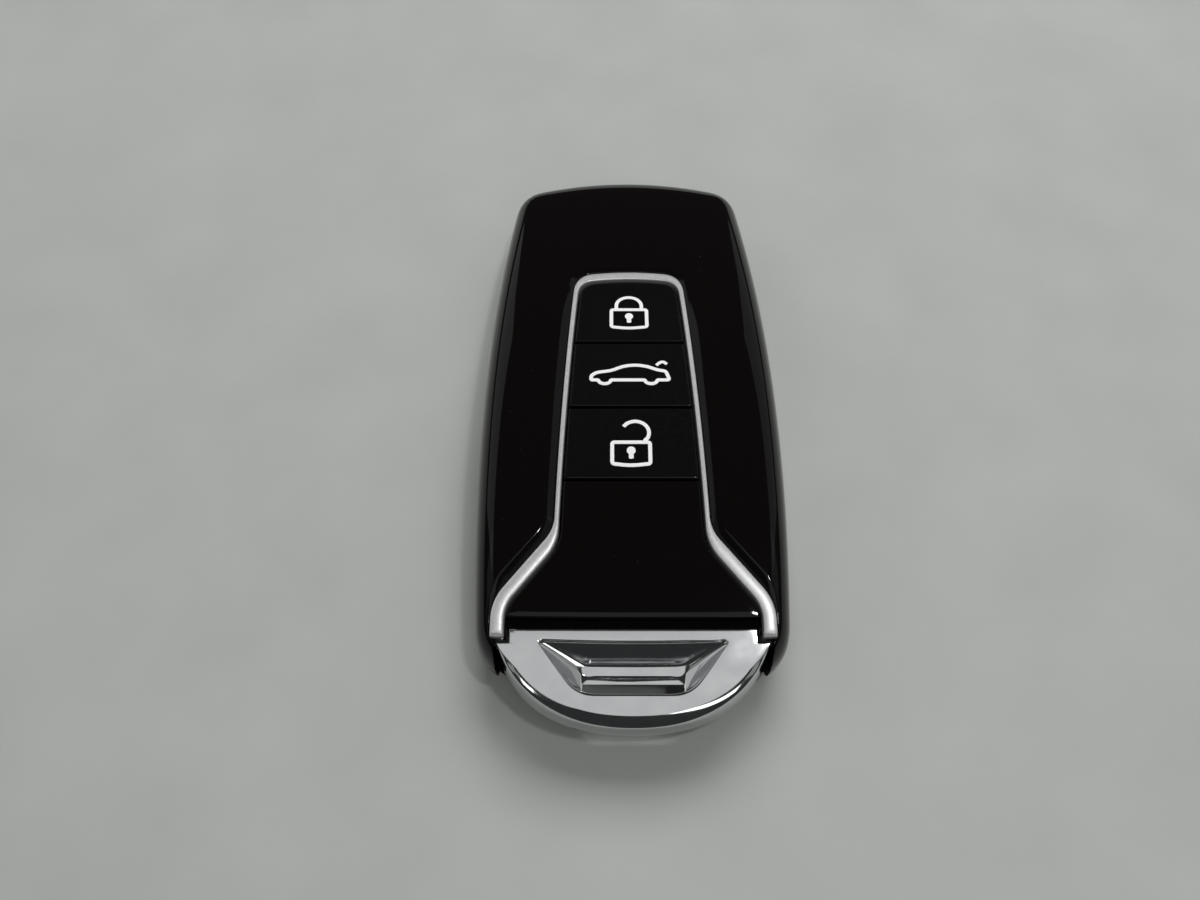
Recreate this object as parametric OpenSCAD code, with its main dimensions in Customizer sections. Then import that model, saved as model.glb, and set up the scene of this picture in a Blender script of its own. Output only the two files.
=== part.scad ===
// Car key fob with three push buttons, a bright bell-shaped trim and a bright key head.
// The key head pulls out with the emergency blade, and the rear cover lifts off the coin cell.
// Millimetres. +Z is up, +Y points to the plain end and the key head points to -Y.
// The origin lies on the resting plane, in the middle of the length and of the width.

/* [Body] */
// Length over the plain end and the key head
fob_len = 83.4; // [80:0.1:88]
// Width at the widest section
fob_w = 39.3; // [38.8:0.1:43]
// Height of the shell at the top of its arch
fob_h = 14; // [13.8:0.1:16]
// Distance from the key head's tip to the widest section
wide_from_tip = 34; // [33:0.1:39]
// Distance from the key head's tip to the top of the arch
crest_from_tip = 38.2; // [36:0.1:41]
// Radius of the bulged long sides
side_r = 310; // [290:1:500]
// Radius of the plain end in plan
end_r = 40; // [36:1:120]
// Corner size at the plain end
end_corner = 3.6; // [3:0.1:8]
// Corner size where the flanks end beside the key head
flank_corner = 6; // [4:0.1:8]
// How far the key head stands out past the flanks
head_reach = 6; // [5.8:0.1:6.2]
// Radius of the lengthwise arch of the top
arch_r = 170; // [165:1:260]
// Width of the rounded shoulder all round the top
shoulder = 4; // [3:0.1:4.5]
// Fullness of the shoulder, where 1 is an ellipse and less is squarer
shoulder_power = 0.8; // [0.7:0.05:1]
// Width of the rounded edge all round the underside
base_round = 4; // [2:0.1:4.5]
// Height of the seam between shell and rear cover
seam_z = 5.5; // [5.2:0.05:5.6]
// Wall of the shell and the rear cover
wall = 1.5; // [1.1:0.05:1.6]

/* [Trim] */
// Depth of the trim's top below the shell's arch
trim_sink = 0.2; // [0.05:0.05:0.4]
// Distance from the widest section's side to the trim's legs
trim_edge = 3.1; // [2.95:0.05:3.25]
// Width of the legs and of the flared part
trim_leg_w = 1.55; // [1.3:0.05:1.8]
// Width of the trim along the buttons
trim_side_w = 0.6; // [0.45:0.05:0.9]
// Width of the trim across its closed end
trim_top_w = 1.35; // [1:0.05:2]
// Length of the straight legs
trim_leg_len = 3.95; // [3.4:0.05:4.4]
// Length of the flared part
trim_flare_len = 8.55; // [7:0.05:10]
// Half width at the upper end of the flare
trim_waist_x = 9.42; // [9:0.05:11]
// Half width at the closed end
trim_top_x = 7.35; // [7:0.05:9]
// Radius of the closed end in plan
trim_top_r = 36; // [25:1:90]

/* [Buttons and panel] */
// Spacing of the three buttons
button_pitch = 10.15; // [9.6:0.05:10.6]
// Gap between neighbouring buttons
button_gap = 0.3; // [0.2:0.05:0.5]
// Gap between the buttons and the trim
trim_gap = 0.3; // [0.2:0.05:0.5]
// Gap between the last button and the closed end of the trim
end_gap = 1; // [0.3:0.05:1.2]
// Length of the blank panel
panel_len = 16.8; // [16:0.1:18]
// Depth of the buttons and the panel below the shell's arch
panel_sink = 0.5; // [0.3:0.05:0.7]
// Travel of a button
press_travel = 0.5; // [0.3:0.05:0.5]
// Diameter of a button's stem
stem_d = 2.4; // [1.8:0.1:3]
// Depth of the trim's seat below the top of the arch
seat_depth = 3.8; // [3.6:0.05:4]
// Thickness of the bed that guides the stems
bed_t = 0.8; // [0.6:0.05:1]

/* [Key head] */
// Length of the key head from its tip to its back face
head_len = 10.8; // [10.6:0.05:11]
// Thickness of the flanks beside the key head, at the widest section
flank_w = 3.5; // [3.45:0.05:3.7]
// Depth of its top below the arch of the shell
head_sink = 1; // [0.7:0.05:1.2]
// Height of its underside
head_base_z = 2; // [1.8:0.05:2.2]
// How far its front curve leans in from the sides, where less is fuller
front_lean = 2.65; // [2.4:0.05:3.2]
// How far the rim's front curve leans in from the sides
rim_lean = 3.65; // [3.3:0.05:4]
// How far the rim lies behind the tip
rim_set = 0.65; // [0.5:0.05:0.9]
// Rounding of the lower edge, as a chamfer
head_chamfer = 0.9; // [0.5:0.05:1]
// Distance from the side of the key head to the window's far corner
window_far_side = 4.85; // [4.6:0.05:5.4]
// Distance from the side of the key head to the window's near corner
window_near_side = 9.6; // [9.2:0.05:9.9]
// Distance from the back face to the window
window_back = 1.1; // [1:0.05:1.2]
// Distance from the tip to the window
window_front = 3.7; // [3.5:0.05:3.75]
// Height of the floor inside the window
pocket_floor_z = 7.55; // [7.5:0.05:7.7]
// Distance from the back face to the floor inside the window
pocket_back = 3.5; // [3.4:0.05:3.6]
// Half width of that floor at its far edge
pocket_far_x = 5.3; // [5.2:0.05:5.6]
// Width of the key ring slot
ring_slot_w = 11.9; // [11.5:0.1:12]
// Opening of the key ring slot from front to back
ring_slot_y = 4.15; // [4.1:0.05:4.15]
// Sloped ledge between the slot and the floor inside the window
ring_ledge = 0.8; // [0.6:0.05:0.9]
// Thickness of the front wall at the tip
front_wall = 1.15; // [1.1:0.05:1.2]
// Height of the underside of the bar that the key ring hangs on
bar_z = 6.9; // [6.7:0.05:7]

/* [Emergency blade] */
// Width of the blade
blade_w = 8.8; // [7.6:0.1:9]
// Thickness of the blade
blade_t = 2; // [1.8:0.05:2.05]
// Length of the blade behind the key head
blade_len = 36.6; // [34:0.1:37]
// Height of the underside of the blade
blade_z = 2.9; // [2.85:0.05:2.95]
// Width of the shank held in the key head
shank_w = 7.2; // [6:0.1:7.6]
// Length of the shank held in the key head
shank_len = 3.3; // [3:0.1:3.4]
// Diameter of the pin through head and shank
pin_d = 1.5; // [1.2:0.1:1.8]

/* [Release latch] */
// Width of the release button
release_w = 8; // [7:0.1:9]
// Length of the release button
release_len = 4; // [3:0.1:4.4]
// Distance from the key head's back face to the middle of the release button
release_back = 5.2; // [5:0.1:5.4]
// Depth of the release button below the resting plane
release_sink = 0.3; // [0.2:0.05:0.5]
// Travel of the release button
release_travel = 0.6; // [0.4:0.05:0.6]
// Wire of the release springs
spring_wire = 0.3; // [0.25:0.01:0.32]
// Outside diameter of the release springs
spring_d = 2.6; // [2.4:0.1:2.8]
// Turns of a release spring
spring_turns = 3.5; // [3:0.5:3.5]

/* [Electronics] */
// Diameter of the coin cell
cell_d = 20; // [19:0.1:20.2]
// Thickness of the coin cell
cell_t = 3.2; // [2.5:0.1:3.2]
// Width of the strip under the board that touches the cell's cap
minus_w = 3.2; // [2.4:0.1:4]
// Length of that strip from its solder foot to the middle of the cell
minus_len = 6; // [5:0.1:7]
// Width of the strip that touches the cell's rim
plus_w = 4; // [3:0.1:4.4]
// Solder foot of that strip
plus_foot = 1.2; // [0.8:0.05:1.3]
// Side of the control chip
control_side = 5.2; // [4:0.1:5.4]
// Side of the radio chip
radio_side = 4; // [3:0.1:4.4]
// Length of the crystal
crystal_len = 3.2; // [2.5:0.1:3.6]
// Distance from the tip of the blade to the coin cell
cell_from_blade = 2; // [1.6:0.1:2.4]
// Length of the circuit board
board_len = 53; // [52:0.1:53.6]
// Width of the circuit board
board_w = 26.4; // [25:0.1:27]
// Thickness of the circuit board
board_t = 1; // [0.8:0.05:1]
// Height of the underside of the circuit board
board_z = 5.65; // [5.6:0.05:5.75]
// Side of a switch body
switch_side = 4.2; // [3.6:0.1:4.8]
// Height of a switch body
switch_h = 1.1; // [1:0.05:1.15]
// Diameter of a switch plunger
plunger_d = 1.8; // [1.4:0.1:2.2]
// How far a plunger stands out of its switch body
plunger_out = 0.55; // [0.55:0.01:0.6]
// Side of the low frequency antenna
antenna_side = 9.4; // [8:0.1:10]
// Height of the low frequency antenna
antenna_h = 2.6; // [2:0.1:2.8]

/* [Clearances] */
// Gap between a part and the opening that it moves in
run_gap = 0.2; // [0.15:0.01:0.22]
// Gap round a part that is set into another
fit_gap = 0.1; // [0.05:0.01:0.12]

/* [Part shown] */
// One named part, or all of them

/* [Hidden] */
gloss_black = [0.03, 0.03, 0.035];
satin_black = [0.07, 0.07, 0.075];
bright = [0.75, 0.76, 0.78];
steel = [0.55, 0.56, 0.58];
board_green = [0.05, 0.25, 0.13];
copper = [0.72, 0.4, 0.2];
resin = [0.12, 0.12, 0.13];
ferrite = [0.2, 0.19, 0.18];
big = 100;

tip_y = -fob_len / 2;
end_y = fob_len / 2;
wide_y = tip_y + wide_from_tip;
crest_y = tip_y + crest_from_tip;
flank_y = tip_y + head_reach;
back_y = tip_y + head_len;

head_w = fob_w - 2 * (flank_w + run_gap);
trim_leg_x = fob_w / 2 - trim_edge;
window_far_x = head_w / 2 - window_far_side;
window_near_x = head_w / 2 - window_near_side;

leg_end_y = back_y - 1;
bend_y = leg_end_y + trim_leg_len;
waist_y = bend_y + trim_flare_len;
panel_y = back_y + 1.2;
split_y = panel_y + panel_len;
top_y = split_y + 3 * button_pitch + end_gap + trim_top_w;

seat_z = fob_h - seat_depth;
bed_top_z = seat_z - 0.3;
cap_z = bed_top_z + press_travel + 0.1;
bulkhead_y = back_y + 2.2;
notch_z = seat_z - 1.75;
notch_x = trim_leg_x - trim_leg_w - 0.5;
notch_y = leg_end_y - 0.4;

release_y = back_y + release_back;
blade_tip_y = back_y + blade_len;
cell_y = blade_tip_y + cell_from_blade + cell_d / 2;
cell_z = wall + 0.25;
board_y = release_y + 2.9;
board_top_z = board_z + board_t;
carrier_y = back_y + 0.3;
carrier_end_y = cell_y + cell_d / 2 + 2.6;
carrier_z = wall + 0.25;
carrier_x = board_w / 2 + 0.2;
carrier_corner = 3.2;
stem_end_z = board_top_z + switch_h + plunger_out + 0.05;
post_x = 6;
strip_t = 0.2;
chip_h = 0.9;
chip_edge = 1.6;
antenna_y = split_y - 3.6 - antenna_side / 2;
latch_top_z = blade_z + blade_t + 0.1 + 0.5;
spring_x = blade_w / 2 + 4.1;
spring_z0 = blade_z - release_travel - 0.1;
spring_z1 = board_z - 0.5;
rim_z = arch_z(tip_y) - head_sink;
pin_top_z = blade_z + blade_t + 0.2;

// Height of the shell's top on its lengthwise arch
function arch_z(y) = fob_h - arch_r + sqrt(arch_r * arch_r - (y - crest_y) * (y - crest_y));

// Half width of the body at y, drawn in by d
function side_x(y, d) = fob_w / 2 - d - (y - wide_y) * (y - wide_y) / (2 * side_r);

// Plain end at x, drawn in by d
function far_y(x, d) = end_y - d - x * x / (2 * end_r);

// Share of a quarter turn, squared up by the shoulder's fullness
function fuller(s) = s < 0.001 ? 0 : pow(s, shoulder_power);

// Rounded corner from p to q about the sharp corner c
function corner(p, c, q, n) =
  [for (i = [0:n]) let (t = i / n) (1 - t) * (1 - t) * p + 2 * t * (1 - t) * c + t * t * q];

// Right half of the body's outline drawn in by d, from the flank end to the plain end
function half_ring(d) =
  let (
    y0 = flank_y + d,
    c0 = [side_x(y0, d), y0],
    r0 = max(flank_corner - d, 0.8),
    x1 = side_x(far_y(fob_w * 0.42, d), d),
    c1 = [x1, far_y(x1, d)],
    r1 = max(end_corner - d, 0.8),
    ya = y0 + r0,
    yb = c1.y - r1
  )
  concat(
    corner([c0.x - r0, y0], c0, [side_x(ya, d), ya], 5),
    [for (i = [1:9]) let (y = ya + (yb - ya) * i / 10) [side_x(y, d), y]],
    corner([side_x(yb, d), yb], c1, [x1 - r1, far_y(x1 - r1, d)], 5),
    [for (i = [1:4]) let (x = (x1 - r1) * (1 - i / 5)) [x, far_y(x, d)]]
  );

// Full outline, right half then the mirrored left half
function ring(d) =
  let (h = half_ring(d))
  concat(h, [for (i = [len(h) - 1:-1:0]) [-h[i].x, h[i].y]]);

// Domed rings from below the seam to the arch, drawn in and lowered by t
function dome_rings(t, skirt) = concat(
  [for (s = [1:1:skirt]) [for (p = ring(t)) [p.x, p.y, seam_z - 1]]],
  [
    for (a = [0:18:90])
      [
        for (p = ring(t + shoulder * (1 - fuller(cos(a)))))
          [p.x, p.y, seam_z + fuller(sin(a)) * (arch_z(p.y) - t - seam_z)]
      ]
  ]
);

// Dished rings from the underside to the seam or above it, drawn in and lifted by t
function dish_rings(t, skirt) = concat(
  [
    for (a = [90:-18:0])
      [
        for (p = ring(t + base_round * (1 - cos(a))))
          [p.x, p.y, seam_z - sin(a) * (seam_z - t)]
      ]
  ],
  [for (s = [1:1:skirt]) [for (p = ring(t)) [p.x, p.y, seam_z + 1]]]
);

// Solid skinned over rings of equal count
module loft(rings) {
  n = len(rings[0]);
  m = len(rings);
  top = (m - 1) * n;
  polyhedron(
    points = [for (r = rings) for (p = r) p],
    faces = concat(
      [[for (i = [0:n - 1]) i]],
      [
        for (k = [0:m - 2])
          for (i = [0:n - 1])
            let (a = k * n, j = (i + 1) % n)
            [a + n + i, a + n + j, a + j, a + i]
      ],
      [for (i = [0:n / 2 - 2]) [top + i, top + n - 1 - i, top + n - 2 - i, top + i + 1]]
    ),
    convexity = 6
  );
}

// Line through a and b moved d to its left, as a point and a direction
function moved_line(a, b, d) =
  let (u = (b - a) / norm(b - a))
  [a + d * [-u.y, u.x], u];

function cross_of(a, b) = a.x * b.y - a.y * b.x;

// Point where two lines meet
function meet(l, k) = l[0] + l[1] * cross_of(k[0] - l[0], k[1]) / cross_of(l[1], k[1]);

// Point at distance r from c towards p
function toward(c, p, r) = c + (p - c) * r / norm(p - c);

// Right half of the bell outline, drawn in by leg_d at the flare, side_d and top_d
function half_bell(leg_d, side_d, top_d) =
  let (
    leg = moved_line([trim_leg_x, leg_end_y], [trim_leg_x, bend_y], leg_d),
    flare = moved_line([trim_leg_x, bend_y], [trim_waist_x, waist_y], leg_d),
    side = moved_line([trim_waist_x, waist_y], [trim_top_x, top_y], side_d),
    foot = [trim_leg_x - leg_d, leg_end_y],
    bend = meet(leg, flare),
    waist = meet(flare, side),
    end_line = [[0, top_y - top_d - trim_top_x * trim_top_x / (2 * trim_top_r)], [1, 0]],
    tip = meet(side, end_line),
    r = max(3.1 - 0.6 * top_d, 1.2)
  )
  concat(
    [foot],
    corner(toward(bend, foot, 1.2), bend, toward(bend, waist, 1.2), 4),
    corner(toward(waist, bend, 1.4), waist, toward(waist, tip, 1.4), 4),
    corner(
      toward(tip, waist, r),
      tip + [0, 0.12 * r],
      [tip.x - r, top_y - top_d - (tip.x - r) * (tip.x - r) / (2 * trim_top_r)],
      5
    ),
    [for (i = [1:4]) let (x = (tip.x - r) * (1 - i / 4)) [x, top_y - top_d - x * x / (2 * trim_top_r)]]
  );

// Flat shape from its right half, which ends on the middle line
module mirrored(half) {
  polygon(concat(half, [for (i = [len(half) - 2:-1:0]) [-half[i].x, half[i].y]]));
}

// Bell-shaped outline as a flat shape
module bell(leg_d, side_d, top_d) {
  mirrored(half_bell(leg_d, side_d, top_d));
}

// Everything under the arch of the top, lowered by drop
module under_arch(drop) {
  translate([0, crest_y, fob_h - drop - arch_r])
    rotate([0, 90, 0])
      cylinder(h = 2 * fob_w, r = arch_r, center = true, $fn = 300);
}

// Upright prism of a flat shape between two heights
module prism(z0, z1) {
  translate([0, 0, z0])
    linear_extrude(z1 - z0)
      children();
}

// Upright block between two corners, symmetric about the middle plane
module block(half_x, y0, y1, z0, z1) {
  translate([-half_x, y0, z0])
    cube([2 * half_x, y1 - y0, z1 - z0]);
}

module drawn_bell(d) {
  bell(d, d, d);
}

// Outline of the trim's inner edge, drawn in by d
module inner_bell(d) {
  bell(trim_leg_w + d, trim_side_w + d, trim_top_w + d);
}

// Room in the shell and the rear cover for the key head
module head_bay() {
  block(head_w / 2 + run_gap, -big, back_y + 0.1, head_base_z - run_gap, notch_z);
  block(notch_x + 0.05, -big, back_y + 0.1, notch_z - 1, big);
  block(head_w / 2 + run_gap, -big, notch_y, head_base_z - run_gap, big);
}

module upper_shell() {
  color(gloss_black)
    difference() {
      loft(dome_rings(0, 0));
      intersection() {
        loft(dome_rings(wall, 1));
        block(big, bulkhead_y, big, 0, big);
      }
      prism(seat_z, big)
        drawn_bell(-fit_gap);
      intersection() {
        prism(seat_z - 1.6, big)
          drawn_bell(-fit_gap);
        block(big, bulkhead_y, big, 0, big);
      }
      head_bay();
    }
}

module rear_cover() {
  color(satin_black)
    difference() {
      union() {
        difference() {
          loft(dish_rings(0, 0));
          intersection() {
            loft(dish_rings(wall, 1));
            block(big, back_y, big, 0, big);
          }
        }
        intersection() {
          prism(seam_z - 2.2, seam_z + 0.8)
            difference() {
              polygon(ring(wall + 0.35));
              polygon(ring(wall + 1.15));
            }
          block(big, bulkhead_y + 1, end_y - 12, 0, big);
        }
      }
      head_bay();
      release_plate(-1, release_w / 2 + run_gap, release_len / 2 + run_gap, wall + 0.1);
    }
}

// Rounded plate of the release button, from z0 to z1
module release_plate(z0, half_x, half_y, z1) {
  r = min(half_x, half_y) * 0.6;
  translate([0, release_y, 0])
    prism(z0, z1) {
      square([2 * half_x, 2 * (half_y - r)], center = true);
      square([2 * (half_x - r), 2 * half_y], center = true);
      for (sx = [-1, 1])
        for (sy = [-1, 1])
          translate([sx * (half_x - r), sy * (half_y - r)])
            circle(r = r, $fn = 48);
    }
}

module trim_frame() {
  color(bright) {
    intersection() {
      prism(seat_z, big)
        difference() {
          drawn_bell(0);
          inner_bell(0);
        }
      under_arch(trim_sink);
      difference() {
        block(big, leg_end_y, big, 0, big);
        block(trim_leg_x - trim_leg_w, -big, bend_y - 1, 0, big);
      }
    }
    intersection() {
      prism(seat_z, big)
        difference() {
          drawn_bell(-0.7);
          inner_bell(0);
        }
      under_arch(wall + 0.05);
      block(big, waist_y + 1, top_y - 8, 0, big);
    }
  }
}

// Centre of button row i, counted from the panel
function row_y(i) = split_y + (i + 0.5) * button_pitch;

module front_panel() {
  color(gloss_black)
    difference() {
      union() {
        intersection() {
          prism(seat_z, big)
            inner_bell(trim_gap);
          under_arch(panel_sink);
          block(big, panel_y, split_y - button_gap / 2, 0, big);
        }
        intersection() {
          prism(bed_top_z - bed_t, seat_z)
            inner_bell(-0.3);
          block(big, bulkhead_y + 0.4, big, 0, big);
          difference() {
            block(big, -big, big, 0, big);
            intersection() {
              prism(bed_top_z, big)
                inner_bell(trim_gap);
              block(big, split_y - button_gap / 2, big, 0, big);
            }
            block(antenna_side / 2 + 1, -big, split_y - 2.5, 0, seat_z);
          }
        }
        for (x = [-post_x, post_x])
          for (i = [0, 2])
            translate([x, row_y(i), board_top_z])
              cylinder(h = bed_top_z - board_top_z - 0.2, d = 1.8, $fn = 32);
      }
      for (i = [0:2])
        translate([0, row_y(i), 0])
          cylinder(h = big, d = stem_d + 2 * run_gap, $fn = 40);
    }
}

// Push button of row i with its guide stem and barb
module push_button(i) {
  color(satin_black) {
    intersection() {
      prism(cap_z, big)
        inner_bell(trim_gap);
      under_arch(panel_sink);
      block(
        big,
        split_y + i * button_pitch + button_gap / 2,
        split_y + (i + 1) * button_pitch - (i < 2 ? button_gap / 2 : 0),
        0,
        big
      );
    }
    translate([0, row_y(i), stem_end_z])
      cylinder(h = cap_z - stem_end_z + 0.5, d = stem_d, $fn = 40);
    translate([0, row_y(i), stem_end_z])
      cylinder(h = 0.4, d1 = stem_d, d2 = stem_d + 0.7, $fn = 40);
  }
}

module lock_button() {
  push_button(2);
}

module boot_button() {
  push_button(1);
}

module unlock_button() {
  push_button(0);
}

// Outline of the key head at its widest height, drawn in by d
module head_outline(d) {
  h = head_w / 2 - d;
  front_y = tip_y + d;
  mirrored(concat([[h, back_y]], corner([h, back_y - 1.7], [h - front_lean, front_y], [0, front_y], 14)));
}

// Outline of the key head's rim
module rim_outline() {
  h = head_w / 2 - 0.1;
  front_y = tip_y + rim_set;
  mirrored(concat([[h, back_y]], corner([h, back_y - 1.55], [h - rim_lean, front_y], [0, front_y], 14)));
}

// Shape narrower at its near edge, with rounded corners
module window_outline(far, near) {
  mirrored(concat(
    corner([far.x - 0.8, far.y], far, toward(far, near, 0.8), 3),
    corner(toward(near, far, 2), near, [near.x - 2.2, near.y], 5),
    [[0, near.y]]
  ));
}

// Pocket inside the window, with sloped walls down to its floor
module head_pocket() {
  lip_far_y = back_y - window_back;
  lip_near_y = tip_y + window_front;
  lip_z = arch_z(lip_near_y) - head_sink - 0.3;
  hull() {
    prism(lip_z, fob_h)
      window_outline([window_far_x, lip_far_y], [window_near_x, lip_near_y]);
    prism(pocket_floor_z, pocket_floor_z + 0.05)
      window_outline([pocket_far_x, back_y - pocket_back], [ring_slot_w / 2, lip_near_y]);
  }
}

module key_head() {
  color(bright)
    difference() {
      intersection() {
        hull() {
          prism(head_base_z, bar_z - 1)
            head_outline(head_chamfer);
          prism(head_base_z + 2 * head_chamfer, bar_z - 1)
            head_outline(0);
          prism(rim_z, fob_h)
            rim_outline();
        }
        under_arch(head_sink);
      }
      head_pocket();
      ring_slot();
      for (s = [-1, 1])
        translate([s * (notch_x - 0.15 + 10), notch_y + 9.85, notch_z + 9.85])
          cube(20, center = true);
      block(shank_w / 2, back_y - shank_len, big, blade_z, blade_z + blade_t);
      pin_bore();
    }
}

// Slot behind the front wall, through to the pocket, with the sloped ledge at its back
module ring_slot() {
  half_x = ring_slot_w / 2;
  pass_x = half_x - 0.45;
  y0 = tip_y + front_wall;
  y1 = y0 + ring_slot_y;
  near_y = tip_y + window_front + 0.12;
  front = corner([half_x, y0 + 1.4], [half_x, y0], [half_x - 2.8, y0], 4);
  near = corner([pass_x, near_y + 1.3], [pass_x, near_y], [pass_x - 2.1, near_y], 4);
  prism(-1, bar_z)
    mirrored(concat([[half_x, y1]], front, [[0, y0]]));
  prism(bar_z - 0.1, pocket_floor_z + 0.3)
    mirrored(concat([[pass_x, y1 + 0.1]], near, [[0, near_y]]));
  hull() {
    block(pass_x - 0.1, y1 - 0.3, y1, pocket_floor_z - ring_ledge * 0.45, pocket_floor_z + 0.2);
    block(pass_x - ring_ledge, y1, y1 + ring_ledge, pocket_floor_z, pocket_floor_z + 0.2);
  }
}

// Bore for the pin through the shank, closed above
module pin_bore() {
  translate([0, back_y - shank_len / 2, -1])
    cylinder(h = pin_top_z + 1, d = pin_d, $fn = 32);
}

module blade_pin() {
  color(steel)
    translate([0, back_y - shank_len / 2, head_base_z + 0.1])
      cylinder(h = pin_top_z - head_base_z - 0.1, d = pin_d, $fn = 32);
}

module key_blade() {
  w = blade_w / 2;
  color(steel)
    difference() {
      prism(blade_z, blade_z + blade_t) {
        polygon([
          [-w, back_y],
          [w, back_y],
          [w, blade_tip_y - 4.5],
          [1.4, blade_tip_y],
          [-1.4, blade_tip_y],
          [-w, blade_tip_y - 4.5]
        ]);
        translate([-shank_w / 2, back_y - shank_len])
          square([shank_w, shank_len + 1]);
      }
      for (s = [-1, 1])
        blade_track(s);
      for (s = [-1, 1])
        translate([s * (w - 0.5), release_y, blade_z + blade_t])
          cube([1.6, 3.2, 0.8], center = true);
      pin_bore();
    }
}

// Wavy track milled in the top or the bottom of the blade
module blade_track(s) {
  y0 = release_y + 4;
  n = 24;
  step = (blade_tip_y - 1 - y0) / n;
  mid = [for (i = [0:n]) [s * 0.9 * sin(i * 47) * sin(i * 180 / n), y0 + i * step]];
  z = s > 0 ? blade_z + blade_t - 0.55 : blade_z - 1;
  prism(z, z + 1.55)
    polygon(concat(
      [for (p = mid) p + [0.8, 0]],
      [for (i = [n:-1:0]) mid[i] - [0.8, 0]]
    ));
}

module release_button() {
  arm_x = blade_w / 2 + 2 * run_gap;
  y0 = release_y - 1.2;
  y1 = release_y + 1.2;
  color(satin_black) {
    release_plate(release_sink, release_w / 2, release_len / 2, wall + 0.2);
    block(spring_x + spring_d / 2, y0, y1, wall + 0.1, blade_z - release_travel - 0.1);
    for (s = [-1, 1]) {
      translate([s * (arm_x + 0.5), release_y, (wall + 0.1 + latch_top_z) / 2])
        cube([1, 2.4, latch_top_z - wall - 0.1], center = true);
      translate([s * (arm_x - 0.3), release_y, latch_top_z - 0.25])
        cube([2.2, 2.4, 0.5], center = true);
    }
  }
}

// Middle line of one spring's wire, eight points to a turn
function coil_line() =
  let (
    r = spring_d / 2 - spring_wire / 2,
    rise = spring_z1 - spring_z0 - spring_wire,
    n = round(spring_turns * 8)
  )
  [for (i = [0:n]) [r * cos(i * 45), r * sin(i * 45), spring_z0 + spring_wire / 2 + rise * i / n]];

// Rings of points round the wire
function coil_rings(line) = [
  for (i = [0:len(line) - 1])
    let (out = [cos(i * 45), sin(i * 45), 0])
    [for (k = [0:5]) line[i] + spring_wire / 2 * (cos(k * 60) * out + sin(k * 60) * [0, 0, 1])]
];

module release_springs() {
  line = coil_line();
  rings = coil_rings(line);
  m = len(rings);
  apart = [for (i = [0:m - 1]) for (j = [i + 5:1:m - 1]) norm(line[i] - line[j]) - spring_wire];
  echo(least_gap_between_turns = min(apart));
  color(steel)
    for (s = [-1, 1])
      translate([s * spring_x, release_y, 0])
        polyhedron(
          points = [for (r = rings) for (p = r) p],
          faces = concat(
            [[5, 4, 3, 2, 1, 0]],
            [
              for (k = [0:m - 2])
                for (i = [0:5])
                  let (a = k * 6, j = (i + 1) % 6)
                  [a + i, a + j, a + 6 + j, a + 6 + i]
            ],
            [[for (i = [0:5]) (m - 1) * 6 + i]]
          ),
          convexity = 10
        );
}

module board_carrier() {
  slot_x = blade_w / 2 + run_gap;
  latch_room = release_len / 2 + 2 * run_gap;
  color(resin)
    difference() {
      block(carrier_x, carrier_y, carrier_end_y, carrier_z, board_z);
      translate([0, cell_y, -1])
        cylinder(h = big, d = cell_d + 2 * run_gap, $fn = 96);
      block(slot_x, -big, blade_tip_y + 0.6, blade_z - run_gap, blade_z + blade_t + run_gap);
      block(slot_x + 2.2, release_y - latch_room, release_y + latch_room, -1, big);
      block(
        spring_x + spring_d / 2 + run_gap,
        release_y - latch_room,
        release_y + latch_room,
        -1,
        blade_z + run_gap
      );
      block(big, -big, bulkhead_y + 0.2, seam_z - 0.05, big);
      for (s = [-1, 1])
        translate([s * spring_x, release_y, -1])
          cylinder(h = spring_z1 + 1, d = spring_d + 2 * run_gap, $fn = 40);
      block(plus_w / 2 + 0.4, cell_y, cell_y + cell_d / 2 + plus_foot + 0.2, -1, big);
      for (s = [-1, 1])
        translate([s * carrier_x, carrier_end_y, -1])
          cylinder(h = big, r = carrier_corner, $fn = 4);
    }
}

module circuit_board() {
  color(board_green)
    difference() {
      block(board_w / 2, board_y, board_y + board_len, board_z, board_top_z);
      for (s = [-1, 1])
        translate([s * board_w / 2, board_y + board_len, board_z - 1])
          cylinder(h = 3, r = 3, $fn = 48);
    }
}

module coin_cell() {
  color(bright)
    translate([0, cell_y, cell_z]) {
      cylinder(h = cell_t - 0.3, d = cell_d, $fn = 96);
      cylinder(h = cell_t, d = cell_d - 2.4, $fn = 96);
    }
}

module contact_plus() {
  y = cell_y + cell_d / 2 + fit_gap;
  color(copper) {
    block(plus_w / 2, y, y + strip_t, cell_z + 2 * strip_t, board_z);
    block(plus_w / 2, y, y + plus_foot, board_z - strip_t, board_z);
  }
}

module contact_minus() {
  z = cell_z + cell_t + 0.02;
  touch = minus_len / 6;
  color(copper)
    translate([-minus_w / 2, cell_y, 0])
      rotate([90, 0, 90])
        linear_extrude(minus_w)
          polygon([
            [-minus_len, board_z],
            [-minus_len, board_z - strip_t],
            [-minus_len / 2, board_z - strip_t],
            [-touch, z],
            [touch, z],
            [2 * touch, z + strip_t],
            [2 * touch - strip_t / 2, z + 1.5 * strip_t],
            [touch, z + strip_t],
            [-touch, z + strip_t],
            [-minus_len / 2 + strip_t / 2, board_z]
          ]);
}

module switch_body(i) {
  color(resin)
    translate([0, row_y(i), board_top_z])
      difference() {
        translate([-switch_side / 2, -switch_side / 2, 0])
          cube([switch_side, switch_side, switch_h]);
        translate([0, 0, 0.1])
          cylinder(h = big, d = plunger_d + 2 * fit_gap, $fn = 32);
      }
}

module lock_switch() {
  switch_body(2);
}

module boot_switch() {
  switch_body(1);
}

module unlock_switch() {
  switch_body(0);
}

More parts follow.
